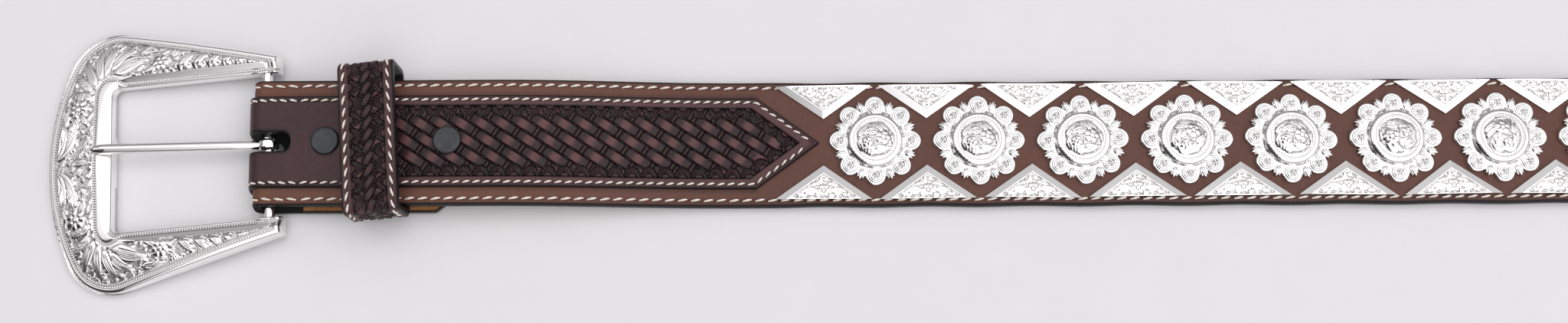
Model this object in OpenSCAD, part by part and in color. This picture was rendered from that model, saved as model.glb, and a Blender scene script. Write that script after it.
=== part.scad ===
// Western belt: a two-ply leather strap with tooled overlays at both ends, a row of berry
// conchos between two rows of triangular plates, a snap-down loop at the buckle end, a
// sliding keeper, and an engraved open buckle with its bar and tongue.
// +X runs from the buckle to the tip, +Y is across the strap and +Z is the dressed face.
// Shapes are drawn from the middle of the buckle bar along the strap's centre line, then
// moved so that the origin is the centre of the footprint on the surface it lies on.

/* [Strap] */
// Width of the strap
strap_w = 38.1; // [37.6:0.1:39]
// Length from the fold round the buckle bar to the tip
strap_length = 965; // [962:1:1000]
// Thickness of the back lining
lining_t = 1.2; // [1.1:0.1:1.4]
// Thickness of the main ply
main_t = 2.0; // [1.8:0.1:2.4]
// Thickness of the tooled overlay
overlay_t = 1.2; // [1:0.1:1.6]
// Width of the tooled overlay
overlay_w = 27.8; // [27:0.1:28.6]
// Distance of the outer stitch row from the strap's edge
edge_stitch_inset = 1.85; // [1.6:0.05:2]
// Distance of the inner stitch row from the overlay's edge
overlay_stitch_inset = 1.4; // [1.2:0.05:1.8]

/* [Billet] */
// Distance from the fold to the middle buckle hole
size_length = 812.8; // [810:0.1:816]
// Distance between buckle holes
hole_pitch = 25.4; // [20:0.1:26]
// Number of buckle holes
hole_count = 5; // [3:2:5]
// Diameter of a buckle hole
hole_d = 4.8; // [4:0.1:5.5]

/* [Conchos and plates] */
// Distance between conchos
concho_pitch = 30.75; // [30.5:0.05:31]
// Number of conchos
concho_count = 18; // [4:1:18]
// Diameter over the berries
concho_d = 27.2; // [26:0.1:27.6]
// Length of a triangular plate along the strap
plate_w = 28.6; // [27:0.1:29.4]
// Width of a triangular plate across the strap
plate_h = 10.2; // [9:0.1:10.6]
// Distance from the bar to the first plate
first_plate_x = 150.6; // [148:0.1:152]

/* [Loop end] */
// Length of the turned-back flap, from the bar
flap_end = 62.3; // [60:0.1:63]
// Distance from the bar to the first snap
first_snap_x = 18.3; // [17.8:0.1:18.8]
// Distance between the snaps
snap_pitch = 35.9; // [35.1:0.1:36.3]
// Diameter of a snap cap
snap_cap_d = 8.4; // [8:0.1:9]
// Angle of the fold across the strap
fold_skew = 3.2; // [2.6:0.1:3.6]

/* [Keeper] */
// Width of the keeper along the strap
keeper_w = 16.4; // [15.8:0.1:17]
// Distance from the bar to the keeper's middle
keeper_x = 32.7; // [32.3:0.1:33.5]
// Angle of the keeper across the strap
keeper_skew = 5.6; // [5:0.1:6]

/* [Buckle] */
// Distance from the bar to the outer end of the frame
buckle_reach = 67; // [65:0.5:69]
// Distance between the arms
buckle_gap = 45.4; // [44.8:0.1:47]
// Diameter of the bar
bar_d = 3; // [2.8:0.1:3.2]
// Diameter of the tongue
tongue_d = 3; // [2.8:0.1:3.2]
// Angle of the buckle across the strap
buckle_skew = 5.2; // [4.8:0.1:5.4]

/* [Hidden] */
$fn = 48;

// Colours
c_strap = [0.40, 0.26, 0.22];
c_lining = [0.62, 0.40, 0.22];
c_overlay = [0.22, 0.12, 0.13];
c_thread = [0.92, 0.86, 0.76];
c_silver = [0.86, 0.87, 0.88];
c_steel = [0.55, 0.56, 0.58];
c_snap = [0.16, 0.17, 0.18];

// Stack at the fold, from the resting surface up
bar_clear = 0.25;
fold_r = bar_d / 2 + bar_clear;
bar_z = overlay_t + main_t + fold_r;
flap_top = overlay_t + main_t;
lift = bar_z + fold_r - lining_t;
body_t = lining_t + main_t;
half_w = strap_w / 2;

// Places along the strap, from the bar
fold_x = -0.55;
fold_len = 10.6;
fold_edge = fold_x - fold_r - main_t - overlay_t;
tip_x = strap_length + fold_edge;
rise_start = 64.3;
rise_end = 142.3;
rise_steps = 18;
mid_hole_x = size_length + fold_edge;
last_plate_end = first_plate_x + concho_count * concho_pitch + plate_w;
first_concho_x = first_plate_x + (concho_pitch + plate_w) / 2;
overlay_point_x = first_plate_x + 13.1;
tip_overlay_point_x = last_plate_end - 13.1;
overlay_taper = 18.6;

// The tip
nose_r = 9;
nose_angle = 25;
nose_steps = 12;

// Stitch grooves
thread_w = 0.8;
thread_depth = 0.45;

// Rows of trim across the strap
concho_y = 0.6;
upper_base_y = 18.1;
lower_base_y = -16.6;
plate_t = 1.3;
plate_edge_t = 0.7;
plate_bevel = 1.9;
prong = [1.6, 0.6];
prong_out = 8;
prong_in = 2.2;
play = 0.1;

// Screws that hold the conchos
screw_r = 1.6;
screw_head_r = 4.4;
screw_head_t = 0.8;

// Snaps
post_r = 1.5;
socket_r = 4.6;
socket_t = 1.3;
stud_base_t = 0.6;
nipple_r = 1.6;
nipple_t = 0.9;
eyelet_r = 3.8;
eyelet_t = 0.5;

// Keeper
keeper_t = 2.0;
keeper_back_t = 1.5;
keeper_room = 5.4;
keeper_inner = 42;
keeper_corner = 2.6;
keeper_back_z = flap_top + (lift - flap_top - keeper_back_t) / 2;
keeper_top = lift + body_t + overlay_t + keeper_room + keeper_t;
keeper_stitch_inset = 1.7;
staple_t = 0.8;
staple_crown = 0.5;

// Buckle, in its own frame: the bar is the Y axis and the frame reaches to -X
tip_reach = 2.4;
arm_tip_w = 5.2;
arm_slope = 14.5;
end_r = 79;
corner_r = 15.4;
tip_r = 1.6;
window_x = -47;
window_r = 2.2;
back_z = -3;
buckle_droop = asin((bar_z + back_z) / buckle_reach);
dome_r = 192;
dome_x = -19;
dome_z = 5.4;
bevel_w = 4.2;
bevel_low = 1.1;
bevel_rise = 1.9;
bar_length = buckle_gap + 5;

// Tongue
eye_clear = 0.08;
eye_t = 1.3;
eye_w = 3.2;
tongue_reach = 52.5;
tongue_skew = -3.6;
tongue_pitch = 3.6;
tongue_start_z = 0.5;
rest_clear = 0.15;
slot_r = 2.85;
slot_end = 8.6;

// ---- Functions ----

function arc(c, r, a0, a1, n) =
    [for (i = [0:n]) let (a = a0 + (a1 - a0) * i / n) c + r * [cos(a), sin(a)]];

function mirror_y(points) = [for (i = [len(points) - 1:-1:0]) [points[i].x, -points[i].y]];

function turned(points, a) =
    [for (p = points) [p.x * cos(a) - p.y * sin(a), p.x * sin(a) + p.y * cos(a)]];

// Height of the strap's underside above the resting surface
function rise(x) =
    x <= rise_start ? lift
    : x >= rise_end ? 0
    : lift * (1 + cos(180 * (x - rise_start) / (rise_end - rise_start))) / 2;

function run(x0, x1) =
    concat([x0],
           [for (i = [0:rise_steps])
               let (x = rise_start + (rise_end - rise_start) * i / rise_steps)
               if (x > x0 && x < x1) x],
           [x1]);

// Half of the tip's outline, moved in by an inset, with its taper tangent to the nose
function tip_half(w, inset) =
    let (c = tip_x - nose_r,
         reach = sin(nose_angle) * c + nose_r - inset,
         shoulder = (reach - cos(nose_angle) * (w - inset)) / sin(nose_angle))
    concat([[shoulder, w - inset]],
           arc([c, 0], nose_r - inset, 90 - nose_angle, 0, nose_steps));

// An end that follows the fold's angle
function fold_end(x, w) = [[x + w * tan(fold_skew), -w], [x - w * tan(fold_skew), w]];

function strap_outline(x0, inset) =
    concat(fold_end(x0, half_w - inset), tip_half(half_w, inset),
           mirror_y(tip_half(half_w, inset)));

// The overlay's point keeps its sides parallel as the outline moves in
overlay_angle = atan2(overlay_w / 2, overlay_taper);
function point_shift(inset) = inset / sin(overlay_angle);
function shoulder_shift(inset) = inset * tan(overlay_angle / 2);

function overlay_outline(x0, inset) =
    concat(fold_end(x0, overlay_w / 2 - inset),
           [[overlay_point_x - overlay_taper - shoulder_shift(inset), overlay_w / 2 - inset],
            [overlay_point_x - point_shift(inset), 0],
            [overlay_point_x - overlay_taper - shoulder_shift(inset), inset - overlay_w / 2]]);

function tip_overlay_outline(inset) =
    let (edge = half_w - overlay_w / 2 + inset,
         shoulder = tip_overlay_point_x + overlay_taper + shoulder_shift(inset))
    concat([[shoulder, edge - half_w], [tip_overlay_point_x + point_shift(inset), 0],
            [shoulder, half_w - edge]],
           tip_half(half_w, edge), mirror_y(tip_half(half_w, edge)));

// Half of the buckle's outline: arm tip, straight arm, corner arc and the wide end arc
end_x = end_r - buckle_reach;
arm_start = [tip_reach, buckle_gap / 2 + arm_tip_w];
arm_d = arm_start.x * sin(arm_slope) + arm_start.y * cos(arm_slope);
corner_d = arm_d - corner_r;
corner_b = cos(arm_slope) ^ 2 * end_x + corner_d * sin(arm_slope);
corner_c = (cos(arm_slope) * end_x) ^ 2 + corner_d ^ 2
         - (cos(arm_slope) * (end_r - corner_r)) ^ 2;
corner_x = corner_b - sqrt(corner_b ^ 2 - corner_c);
corner = [corner_x, (corner_d - sin(arm_slope) * corner_x) / cos(arm_slope)];
corner_angle = atan2(corner.y, corner.x - end_x);

buckle_half = concat(
    [[tip_reach, 0]],
    arc([tip_reach - tip_r, arm_start.y - tip_r], tip_r, 0, 90 - arm_slope, 4),
    arc(corner, corner_r, 90 - arm_slope, corner_angle, 10),
    arc([end_x, 0], end_r, corner_angle, 180, 10));
buckle_outline = concat(buckle_half, mirror_y(buckle_half));

window_half = concat([[tip_reach + 5, 0], [tip_reach + 5, buckle_gap / 2]],
                     arc([window_x + window_r, buckle_gap / 2 - window_r], window_r, 90, 180, 4));
window_outline = concat(window_half, mirror_y(window_half));

// The footprint, and the move that centres it on the origin
foot = turned(buckle_outline, buckle_skew);
foot_low = [min([for (p = foot) p.x * cos(buckle_droop)]), min([for (p = foot) p.y])];
foot_high = [tip_x, max([for (p = foot) p.y])];
origin = -(foot_low + foot_high) / 2;

// ---- Helpers ----

module placed() {
    translate([origin.x, origin.y, 0]) children();
}

// A layer of the strap between two heights above its underside
module layer(z0, z1, x0, x1) {
    xs = run(x0, x1);
    rotate([90, 0, 0])
        linear_extrude(strap_w + 10, center = true)
            polygon(concat([for (x = xs) [x, rise(x) + z0]],
                           [for (i = [len(xs) - 1:-1:0]) [xs[i], rise(xs[i]) + z1]]));
}

module prism(points, z0 = -5, z1 = 25) {
    translate([0, 0, z0]) linear_extrude(z1 - z0) polygon(points);
}

module ring_prism(outer, inner) {
    difference() {
        prism(outer);
        prism(inner, -6, 26);
    }
}

module edge_thread() {
    intersection() {
        ring_prism(strap_outline(junction_x(), edge_stitch_inset - thread_w / 2),
                   strap_outline(junction_x() - 5, edge_stitch_inset + thread_w / 2));
        layer(body_t - thread_depth, body_t, junction_x() - 3, tip_x + 1);
    }
}

module overlay_thread() {
    intersection() {
        ring_prism(overlay_outline(junction_x(), overlay_stitch_inset - thread_w / 2),
                   overlay_outline(junction_x() - 5, overlay_stitch_inset + thread_w / 2));
        layer(body_t + overlay_t - thread_depth, body_t + overlay_t,
              junction_x() - 3, overlay_point_x + 1);
    }
}

module tip_overlay_thread() {
    intersection() {
        ring_prism(tip_overlay_outline(overlay_stitch_inset - thread_w / 2),
                   tip_overlay_outline(overlay_stitch_inset + thread_w / 2));
        layer(body_t + overlay_t - thread_depth, body_t + overlay_t,
              tip_overlay_point_x - 1, tip_x + 1);
    }
}

function junction_x() = fold_x + fold_len / cos(fold_skew);
function concho_x(i) = first_concho_x + (i - 1) * concho_pitch;
function snap_x(i) = first_snap_x + (i - 1) * snap_pitch;
function plate_x(i) = first_plate_x + plate_w / 2 + i * concho_pitch;

module billet_holes() {
    for (i = [0:hole_count - 1])
        translate([mid_hole_x + (i - (hole_count - 1) / 2) * hole_pitch, 0, -1])
            cylinder(d = hole_d, h = body_t + overlay_t + 2);
}

module snap_holes(z0, z1) {
    for (i = [1:2]) translate([snap_x(i), 0, z0]) cylinder(r = post_r + play, h = z1 - z0);
}

module at_plates() {
    for (i = [0:concho_count]) {
        translate([plate_x(i), upper_base_y, body_t]) rotate([0, 0, 180]) children();
        translate([plate_x(i), lower_base_y, body_t]) children();
    }
}

// ---- Strap ----

module outer_strap() {
    color(c_strap) placed() difference() {
        intersection() {
            prism(strap_outline(junction_x(), 0));
            layer(lining_t, body_t, junction_x() - 3, tip_x + 1);
        }
        edge_thread();
        billet_holes();
        snap_holes(lift, lift + body_t + 1);
        for (i = [1:concho_count])
            translate([concho_x(i), concho_y, -1]) cylinder(r = screw_r + play, h = body_t + 2);
        at_plates() prong_pair(play);
    }
}

module lining_strap() {
    color(c_lining) placed() difference() {
        intersection() {
            prism(strap_outline(junction_x(), 0));
            layer(0, lining_t, junction_x() - 3, tip_x + 1);
        }
        billet_holes();
        snap_holes(lift - 1, lift + body_t);
        for (i = [1:concho_count]) translate([concho_x(i), concho_y, -1]) {
            cylinder(r = screw_r + play, h = body_t + 2);
            cylinder(r = screw_head_r + play, h = 1 + screw_head_t + play);
        }
    }
}

module buckle_end_overlay() {
    color(c_overlay) placed() difference() {
        intersection() {
            prism(overlay_outline(junction_x(), 0));
            layer(body_t, body_t + overlay_t, junction_x() - 3, overlay_point_x + 1);
        }
        overlay_thread();
        snap_holes(lift, lift + body_t + overlay_t + 1);
    }
}

module tip_end_overlay() {
    color(c_overlay) placed() difference() {
        intersection() {
            prism(tip_overlay_outline(0));
            layer(body_t, body_t + overlay_t, tip_overlay_point_x - 1, tip_x + 1);
        }
        tip_overlay_thread();
        billet_holes();
    }
}

module edge_stitching() {
    color(c_thread) placed() edge_thread();
}

module overlay_stitching() {
    color(c_thread) placed() overlay_thread();
}

module tip_overlay_stitching() {
    color(c_thread) placed() tip_overlay_thread();
}

// ---- Loop end ----

// One ply bent round the bar, from the strap above to the flap below
module wrap(width, r0, r1) {
    intersection() {
        translate([0, 0, bar_z]) cube([60, width, 40], center = true);
        translate([fold_x, 0, bar_z]) rotate([0, 0, fold_skew]) difference() {
            union() {
                rotate([90, 0, 0]) cylinder(r = r1, h = strap_w + 10, center = true);
                translate([0, -strap_w / 2 - 5, -r1]) cube([fold_len, strap_w + 10, 2 * r1]);
            }
            rotate([90, 0, 0]) cylinder(r = r0, h = strap_w + 12, center = true);
            translate([0, -strap_w / 2 - 6, -r0]) cube([fold_len + 1, strap_w + 12, 2 * r0]);
            translate([-20, -slot_r, -10]) cube([20 + slot_end - slot_r, 2 * slot_r, 20]);
            translate([slot_end - slot_r, 0, -10]) cylinder(r = slot_r, h = 20);
        }
    }
}

module fold_wrap() {
    color(c_strap) placed() wrap(strap_w, fold_r, fold_r + main_t);
}

module fold_overlay() {
    color(c_overlay) placed() wrap(overlay_w, fold_r + main_t, fold_r + main_t + overlay_t);
}

function flap_outline(w, x0) =
    concat(fold_end(x0, w),
           [[flap_end - 12, w], [flap_end, w / 2], [flap_end, -w / 2], [flap_end - 12, -w]]);

module turnback_flap() {
    color(c_strap) placed() difference() {
        prism(flap_outline(half_w, junction_x()), overlay_t, flap_top);
        snap_holes(0, flap_top + 1);
    }
}

module flap_facing() {
    color(c_overlay) placed() difference() {
        prism(flap_outline(overlay_w / 2, junction_x()), 0, overlay_t);
        snap_holes(-1, overlay_t + 1);
        for (i = [1:2])
            translate([snap_x(i), 0, -1]) cylinder(r = eyelet_r + play, h = 1 + eyelet_t);
    }
}

// ---- Snaps ----

module snap_cap(i) {
    rim = snap_cap_d / 2;
    color(c_snap) placed() translate([snap_x(i), 0, lift + body_t + overlay_t]) {
        rotate_extrude()
            polygon([[0, 0], [rim - 0.2, 0], [rim, 0.3], [rim - 0.1, 0.7], [rim - 0.6, 1.05],
                     [rim - 1.4, 1.1], [0, 0.95]]);
        translate([0, 0, -body_t - overlay_t - 0.5])
            cylinder(r = post_r, h = body_t + overlay_t + 0.6);
    }
}

module snap_socket(i) {
    color(c_steel) placed() translate([snap_x(i), 0, lift - socket_t]) difference() {
        cylinder(r = socket_r, h = socket_t);
        translate([0, 0, -1]) cylinder(r = nipple_r + 0.25, h = 1 + socket_t - 0.5);
        cylinder(r = post_r + play, h = socket_t + 1);
    }
}

module snap_stud(i) {
    color(c_steel) placed() translate([snap_x(i), 0, flap_top]) difference() {
        union() {
            cylinder(r = socket_r - 0.4, h = stud_base_t);
            cylinder(r = nipple_r, h = stud_base_t + nipple_t);
        }
        translate([0, 0, -1]) cylinder(r = 0.9, h = 1 + stud_base_t);
    }
}

module snap_eyelet(i) {
    color(c_snap) placed() translate([snap_x(i), 0, 0]) {
        cylinder(r = eyelet_r, h = eyelet_t);
        cylinder(r = post_r, h = flap_top);
        cylinder(r = 0.8, h = flap_top + stud_base_t - play);
    }
}

module snap_cap_1() { snap_cap(1); }
module snap_cap_2() { snap_cap(2); }
module snap_socket_1() { snap_socket(1); }
module snap_socket_2() { snap_socket(2); }
module snap_stud_1() { snap_stud(1); }
module snap_stud_2() { snap_stud(2); }
module snap_eyelet_1() { snap_eyelet(1); }
module snap_eyelet_2() { snap_eyelet(2); }

// ---- Conchos and plates ----

module concho(i) {
    berry_r = 2.9;
    ring_r = concho_d / 2 - berry_r;
    color(c_silver) placed() translate([concho_x(i), concho_y, body_t]) difference() {
        union() {
            rotate_extrude()
                polygon([[0, 0], [ring_r, 0], [ring_r, 0.9], [8.2, 1.2], [7.8, 2.4], [7.3, 2.9],
                         [6.4, 3.1], [5.9, 2.7], [3, 3.3], [0, 3.5]]);
            for (a = [0:45:315]) rotate([0, 0, a]) translate([ring_r, 0, 0]) rotate_extrude()
                polygon([[0, 0], [berry_r, 0], [berry_r, 0.9], [berry_r - 0.5, 1.5],
                         [1.6, 1.3], [1.1, 1.6], [0, 1.7]]);
            for (a = [22.5:45:337.5]) rotate([0, 0, a]) linear_extrude(1.2)
                polygon([[9, -1.2], [10.8, -1.3], [12.7, 0], [10.8, 1.3], [9, 1.2]]);
        }
        translate([0, 0, -1]) cylinder(r = screw_r + 0.05, h = 2.6);
    }
}

module concho_screws() {
    color(c_steel) placed() for (i = [1:concho_count])
        translate([concho_x(i), concho_y, play]) difference() {
            union() {
                cylinder(r = screw_head_r, h = screw_head_t);
                cylinder(r = screw_r, h = body_t + 1.2);
            }
            translate([-5, -0.4, -1]) cube([10, 0.8, 1.4]);
        }
}

module prong_pair(grow) {
    for (p = [[-prong_out, prong_in], [prong_out, prong_in]])
        translate([p.x, p.y, -main_t / 2])
            cube([prong.x + grow, prong.y + grow, main_t + grow], center = true);
}

// A triangle with its base on the X axis, bevelled along its two slanted sides
module plate() {
    side = atan2(plate_h, plate_w / 2);
    tilt = atan2(plate_t - plate_edge_t, plate_bevel);
    intersection() {
        linear_extrude(plate_t)
            polygon([[-plate_w / 2, 0], [plate_w / 2, 0], [0, plate_h]]);
        for_side(1, side, tilt);
        for_side(-1, side, tilt);
    }
    prong_pair(0);
}

module for_side(way, side, tilt) {
    mirror([way < 0 ? 1 : 0, 0, 0])
        translate([-plate_w / 2, 0, plate_edge_t]) rotate([0, 0, side]) rotate([-tilt, 0, 0])
            translate([-40, -40, -10]) cube([80, 80, 10]);
}

module upper_plates() {
    color(c_silver) placed() for (i = [0:concho_count])
        translate([plate_x(i), upper_base_y, body_t]) rotate([0, 0, 180]) plate();
}

module lower_plates() {
    color(c_silver) placed() for (i = [0:concho_count])
        translate([plate_x(i), lower_base_y, body_t]) plate();
}

// ---- Keeper ----

module at_keeper() {
    placed() translate([keeper_x, 0, 0]) rotate([0, 0, keeper_skew]) children();
}

// A box along X with rounded long edges
module rounded_bar(w, length, z0, z1, r) {
    translate([-length / 2, 0, 0]) rotate([90, 0, 90]) linear_extrude(length)
        polygon(concat(arc([w / 2 - r, z1 - r], r, 0, 90, 5), arc([r - w / 2, z1 - r], r, 90, 180, 5),
                       arc([r - w / 2, z0 + r], r, 180, 270, 5), arc([w / 2 - r, z0 + r], r, 270, 360, 5)));
}

module keeper_thread() {
    z0 = keeper_top - thread_depth;
    for (way = [-1, 1])
        translate([way * (keeper_w / 2 - keeper_stitch_inset), 0, (z0 + keeper_top) / 2])
            cube([thread_w, keeper_inner - 2, thread_depth], center = true);
}

module staple(grow) {
    for (way = [-1, 1])
        translate([0, way * 2, keeper_back_z + keeper_back_t / 2])
            cube([staple_t + grow, staple_t + grow, keeper_back_t + grow], center = true);
    translate([0, 0, keeper_back_z + staple_crown / 2])
        cube([staple_t + grow, 4 + staple_t + grow, staple_crown + grow], center = true);
}

module keeper_loop() {
    color(c_overlay) at_keeper() difference() {
        rounded_bar(keeper_inner + 2 * keeper_t, keeper_w, keeper_back_z, keeper_top, keeper_corner);
        rounded_bar(keeper_inner, keeper_w + 2, keeper_back_z + keeper_back_t,
                    keeper_top - keeper_t, keeper_corner - 1.6);
        keeper_thread();
        staple(play);
    }
}

module keeper_stitching() {
    color(c_thread) at_keeper() keeper_thread();
}

module keeper_staple() {
    color(c_steel) at_keeper() staple(0);
}

// ---- Buckle ----

module at_bar() {
    placed() translate([0, 0, bar_z]) rotate([0, 0, buckle_skew]) rotate([0, -buckle_droop, 0])
        children();
}

// The sloping rim round the window, cut with two crossed wedges
module window_bevel() {
    slope = bevel_rise / bevel_w;
    high = dome_z + 2;
    out = (high - bevel_low) / slope;
    intersection() {
        rotate([90, 0, 0]) linear_extrude(80, center = true)
            polygon([[window_x, bevel_low], [20, bevel_low], [20, high], [window_x - out, high]]);
        rotate([90, 0, 90]) linear_extrude(180, center = true)
            polygon([[-buckle_gap / 2, bevel_low], [buckle_gap / 2, bevel_low],
                     [buckle_gap / 2 + out, high], [-buckle_gap / 2 - out, high]]);
    }
}

module shank(r, reach) {
    translate([0, 0, tongue_start_z]) rotate([0, 0, tongue_skew]) rotate([0, tongue_pitch, 0])
        rotate([0, -90, 0]) translate([0, 0, fold_r]) cylinder(r = r, h = reach - fold_r);
}

module buckle_frame() {
    color(c_silver) at_bar() difference() {
        intersection() {
            prism(buckle_outline, back_z, dome_z + 1);
            translate([dome_x, 0, dome_z - dome_r]) sphere(r = dome_r, $fn = 256);
        }
        prism(window_outline, back_z - 1, dome_z + 2);
        window_bevel();
        shank(tongue_d / 2 + rest_clear, tongue_reach + 0.5);
        rotate([90, 0, 0]) cylinder(d = bar_d, h = bar_length, center = true);
    }
}

module buckle_bar() {
    color(c_silver) at_bar() rotate([90, 0, 0]) cylinder(d = bar_d, h = bar_length, center = true);
}

module tongue() {
    bore = bar_d / 2 + eye_clear;
    color(c_silver) at_bar() difference() {
        union() {
            rotate([90, 0, 0]) cylinder(r = bore + eye_t, h = eye_w, center = true);
            shank(tongue_d / 2, tongue_reach);
        }
        rotate([90, 0, 0]) cylinder(r = bore, h = eye_w + 2, center = true);
    }
}

module concho_01() { concho(1); }
module concho_02() { concho(2); }
module concho_03() { concho(3); }
module concho_04() { concho(4); }
module concho_05() { concho(5); }
module concho_06() { concho(6); }
module concho_07() { concho(7); }
module concho_08() { concho(8); }
module concho_09() { concho(9); }
module concho_10() { concho(10); }
module concho_11() { concho(11); }
module concho_12() { concho(12); }
module concho_13() { concho(13); }
module concho_14() { concho(14); }
module concho_15() { concho(15); }
module concho_16() { concho(16); }
module concho_17() { concho(17); }
module concho_18() { concho(18); }

outer_strap();
lining_strap();
buckle_end_overlay();
tip_end_overlay();
fold_wrap();
fold_overlay();
turnback_flap();
flap_facing();
edge_stitching();
overlay_stitching();
tip_overlay_stitching();
upper_plates();
lower_plates();
concho_screws();
snap_cap_1();
snap_socket_1();
snap_stud_1();
snap_eyelet_1();
snap_cap_2();
snap_socket_2();
snap_stud_2();
snap_eyelet_2();
keeper_loop();
keeper_stitching();
keeper_staple();
buckle_frame();
buckle_bar();
tongue();
concho_01();
concho_02();
concho_03();
concho_04();
concho_05();
concho_06();
concho_07();
concho_08();
concho_09();
concho_10();
concho_11();
concho_12();
concho_13();
concho_14();
concho_15();
concho_16();
concho_17();
concho_18();
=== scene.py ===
"""A western belt: tooled and stitched leather, an engraved silver buckle, berry conchos and
triangular plates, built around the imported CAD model.

Distances are in millimetres from the middle of the buckle bar, with x along the strap, y across
it and z up, until a piece is made: then they become metres in the row frame."""

import math

import bpy
import numpy as np
from mathutils import Matrix, Vector


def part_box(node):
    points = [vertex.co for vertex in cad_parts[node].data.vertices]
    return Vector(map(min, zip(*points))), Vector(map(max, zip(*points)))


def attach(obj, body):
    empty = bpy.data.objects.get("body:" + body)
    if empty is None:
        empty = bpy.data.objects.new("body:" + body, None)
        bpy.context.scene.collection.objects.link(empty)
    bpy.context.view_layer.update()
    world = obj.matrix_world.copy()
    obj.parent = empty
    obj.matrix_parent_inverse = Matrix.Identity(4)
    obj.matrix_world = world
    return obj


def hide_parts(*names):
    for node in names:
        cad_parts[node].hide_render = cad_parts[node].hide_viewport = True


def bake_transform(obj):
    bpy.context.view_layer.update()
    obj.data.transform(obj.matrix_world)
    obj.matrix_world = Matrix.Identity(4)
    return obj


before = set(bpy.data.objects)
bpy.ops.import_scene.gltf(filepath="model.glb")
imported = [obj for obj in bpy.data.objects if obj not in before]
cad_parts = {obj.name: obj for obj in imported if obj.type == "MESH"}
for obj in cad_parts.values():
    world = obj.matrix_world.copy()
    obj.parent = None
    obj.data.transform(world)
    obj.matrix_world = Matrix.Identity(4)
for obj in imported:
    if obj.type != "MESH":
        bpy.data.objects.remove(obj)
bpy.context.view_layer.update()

# ---- Sizes, in millimetres ----

MM = 0.001
LINING_T, MAIN_T, OVERLAY_T = 1.2, 2.0, 1.2
BODY_T = LINING_T + MAIN_T
HALF_W = 19.05
OVERLAY_HALF = 13.9
FIELD_HALF = 10.7
EDGE_STITCH_INSET = 1.85
OVERLAY_STITCH_INSET = 1.4
FOLD_X, FOLD_LEN, FOLD_R, FOLD_SKEW = -0.55, 10.6, 1.75, math.radians(3.2)
FOLD_CENTRE_Z = OVERLAY_T + MAIN_T + FOLD_R
LIFT = FOLD_CENTRE_Z + FOLD_R - LINING_T
JUNCTION = FOLD_X + FOLD_LEN / math.cos(FOLD_SKEW)
TIP_X = 959.5
RISE_START, RISE_END = 64.3, 142.3
OVERLAY_POINT, OVERLAY_TAPER = 163.7, 18.6
TIP_OVERLAY_POINT = 719.6
POINT_ANGLE = math.atan2(OVERLAY_HALF, OVERLAY_TAPER)
NOSE_R, NOSE_ANGLE = 9, math.radians(25)
NOSE_X = TIP_X - NOSE_R
TIP_OVERLAY_END = TIP_X - (HALF_W - OVERLAY_HALF)
SLOT_HALF, SLOT_END, SLOT_END_BELOW = 2.85, 8.6, 4.4
PEEK = 1.15
FLAP_END, FLAP_CHAMFER = 62.3, 12
HOLE_R, HOLE_PITCH, HOLE_COUNT, MIDDLE_HOLE = 2.4, 25.4, 5, 807.3
SNAPS = (18.3, 54.2)
SNAP_R, SNAP_POST_R = 4.2, 3.9
PITCH = 30.75
PLATE_W, PLATE_H, FIRST_PLATE = 28.6, 10.2, 150.6
CONCHO_COUNT, FIRST_CONCHO, CONCHO_Y = 18, FIRST_PLATE + (PITCH + PLATE_W) / 2, 0.6
SCREW_R, SCREW_T = 4.5, 0.95
PLATE_T, PLATE_EDGE, PLATE_BEVEL = 1.3, 0.7, 1.9
UPPER_BASE, LOWER_BASE = 18.1, -16.6
KEEPER_X, KEEPER_SKEW, KEEPER_HALF = 32.7, math.radians(5.6), 8.2
KEEPER_INNER_HALF, KEEPER_T, KEEPER_BACK_T = 21, 2.0, 1.5
KEEPER_LOW, KEEPER_MIDDLE, KEEPER_HIGH = 3.6, 8, 17.3
BUCKLE_SKEW, BUCKLE_REACH = math.radians(5.2), 67
BUCKLE_DROOP = math.asin((FOLD_CENTRE_Z - 3) / BUCKLE_REACH)

strap_low, strap_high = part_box("outer_strap")
ORIGIN = np.array([strap_high.x / MM - TIP_X, (strap_low.y + strap_high.y) / 2 / MM, 0])


# ---- Mesh building ----


def smooth_step(value, start, end):
    t = np.clip((value - start) / (end - start), 0, 1)
    return t * t * (3 - 2 * t)


def bell(value, width):
    return np.exp(-((value / width) ** 2))


def spans(*stops):
    """Places along a line: spans(0, 1, 10, 0.5, 20) steps by 1 up to 10 and by 0.5 up to 20."""
    out = [np.array([stops[0]])]
    for i in range(0, len(stops) - 2, 2):
        a, step, b = stops[i : i + 3]
        out.append(np.linspace(a, b, max(2, round((b - a) / step) + 1))[1:])
    return np.concatenate(out)


def grid_quads(rows, cols, wrap_rows=False, wrap_cols=False):
    i = np.arange(rows if wrap_rows else rows - 1)[:, None]
    j = np.arange(cols if wrap_cols else cols - 1)[None, :]
    i2, j2 = (i + 1) % rows, (j + 1) % cols
    return np.stack([i * cols + j, i * cols + j2, i2 * cols + j2, i2 * cols + j], -1).reshape(-1, 4)


def signed_volume(verts, faces):
    total = 0.0
    for f in faces:
        for k in range(1, f.shape[1] - 1):
            a, b, c = verts[f[:, 0]], verts[f[:, k]], verts[f[:, k + 1]]
            total += np.einsum("ij,ij->", a, np.cross(b, c))
    return total


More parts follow.
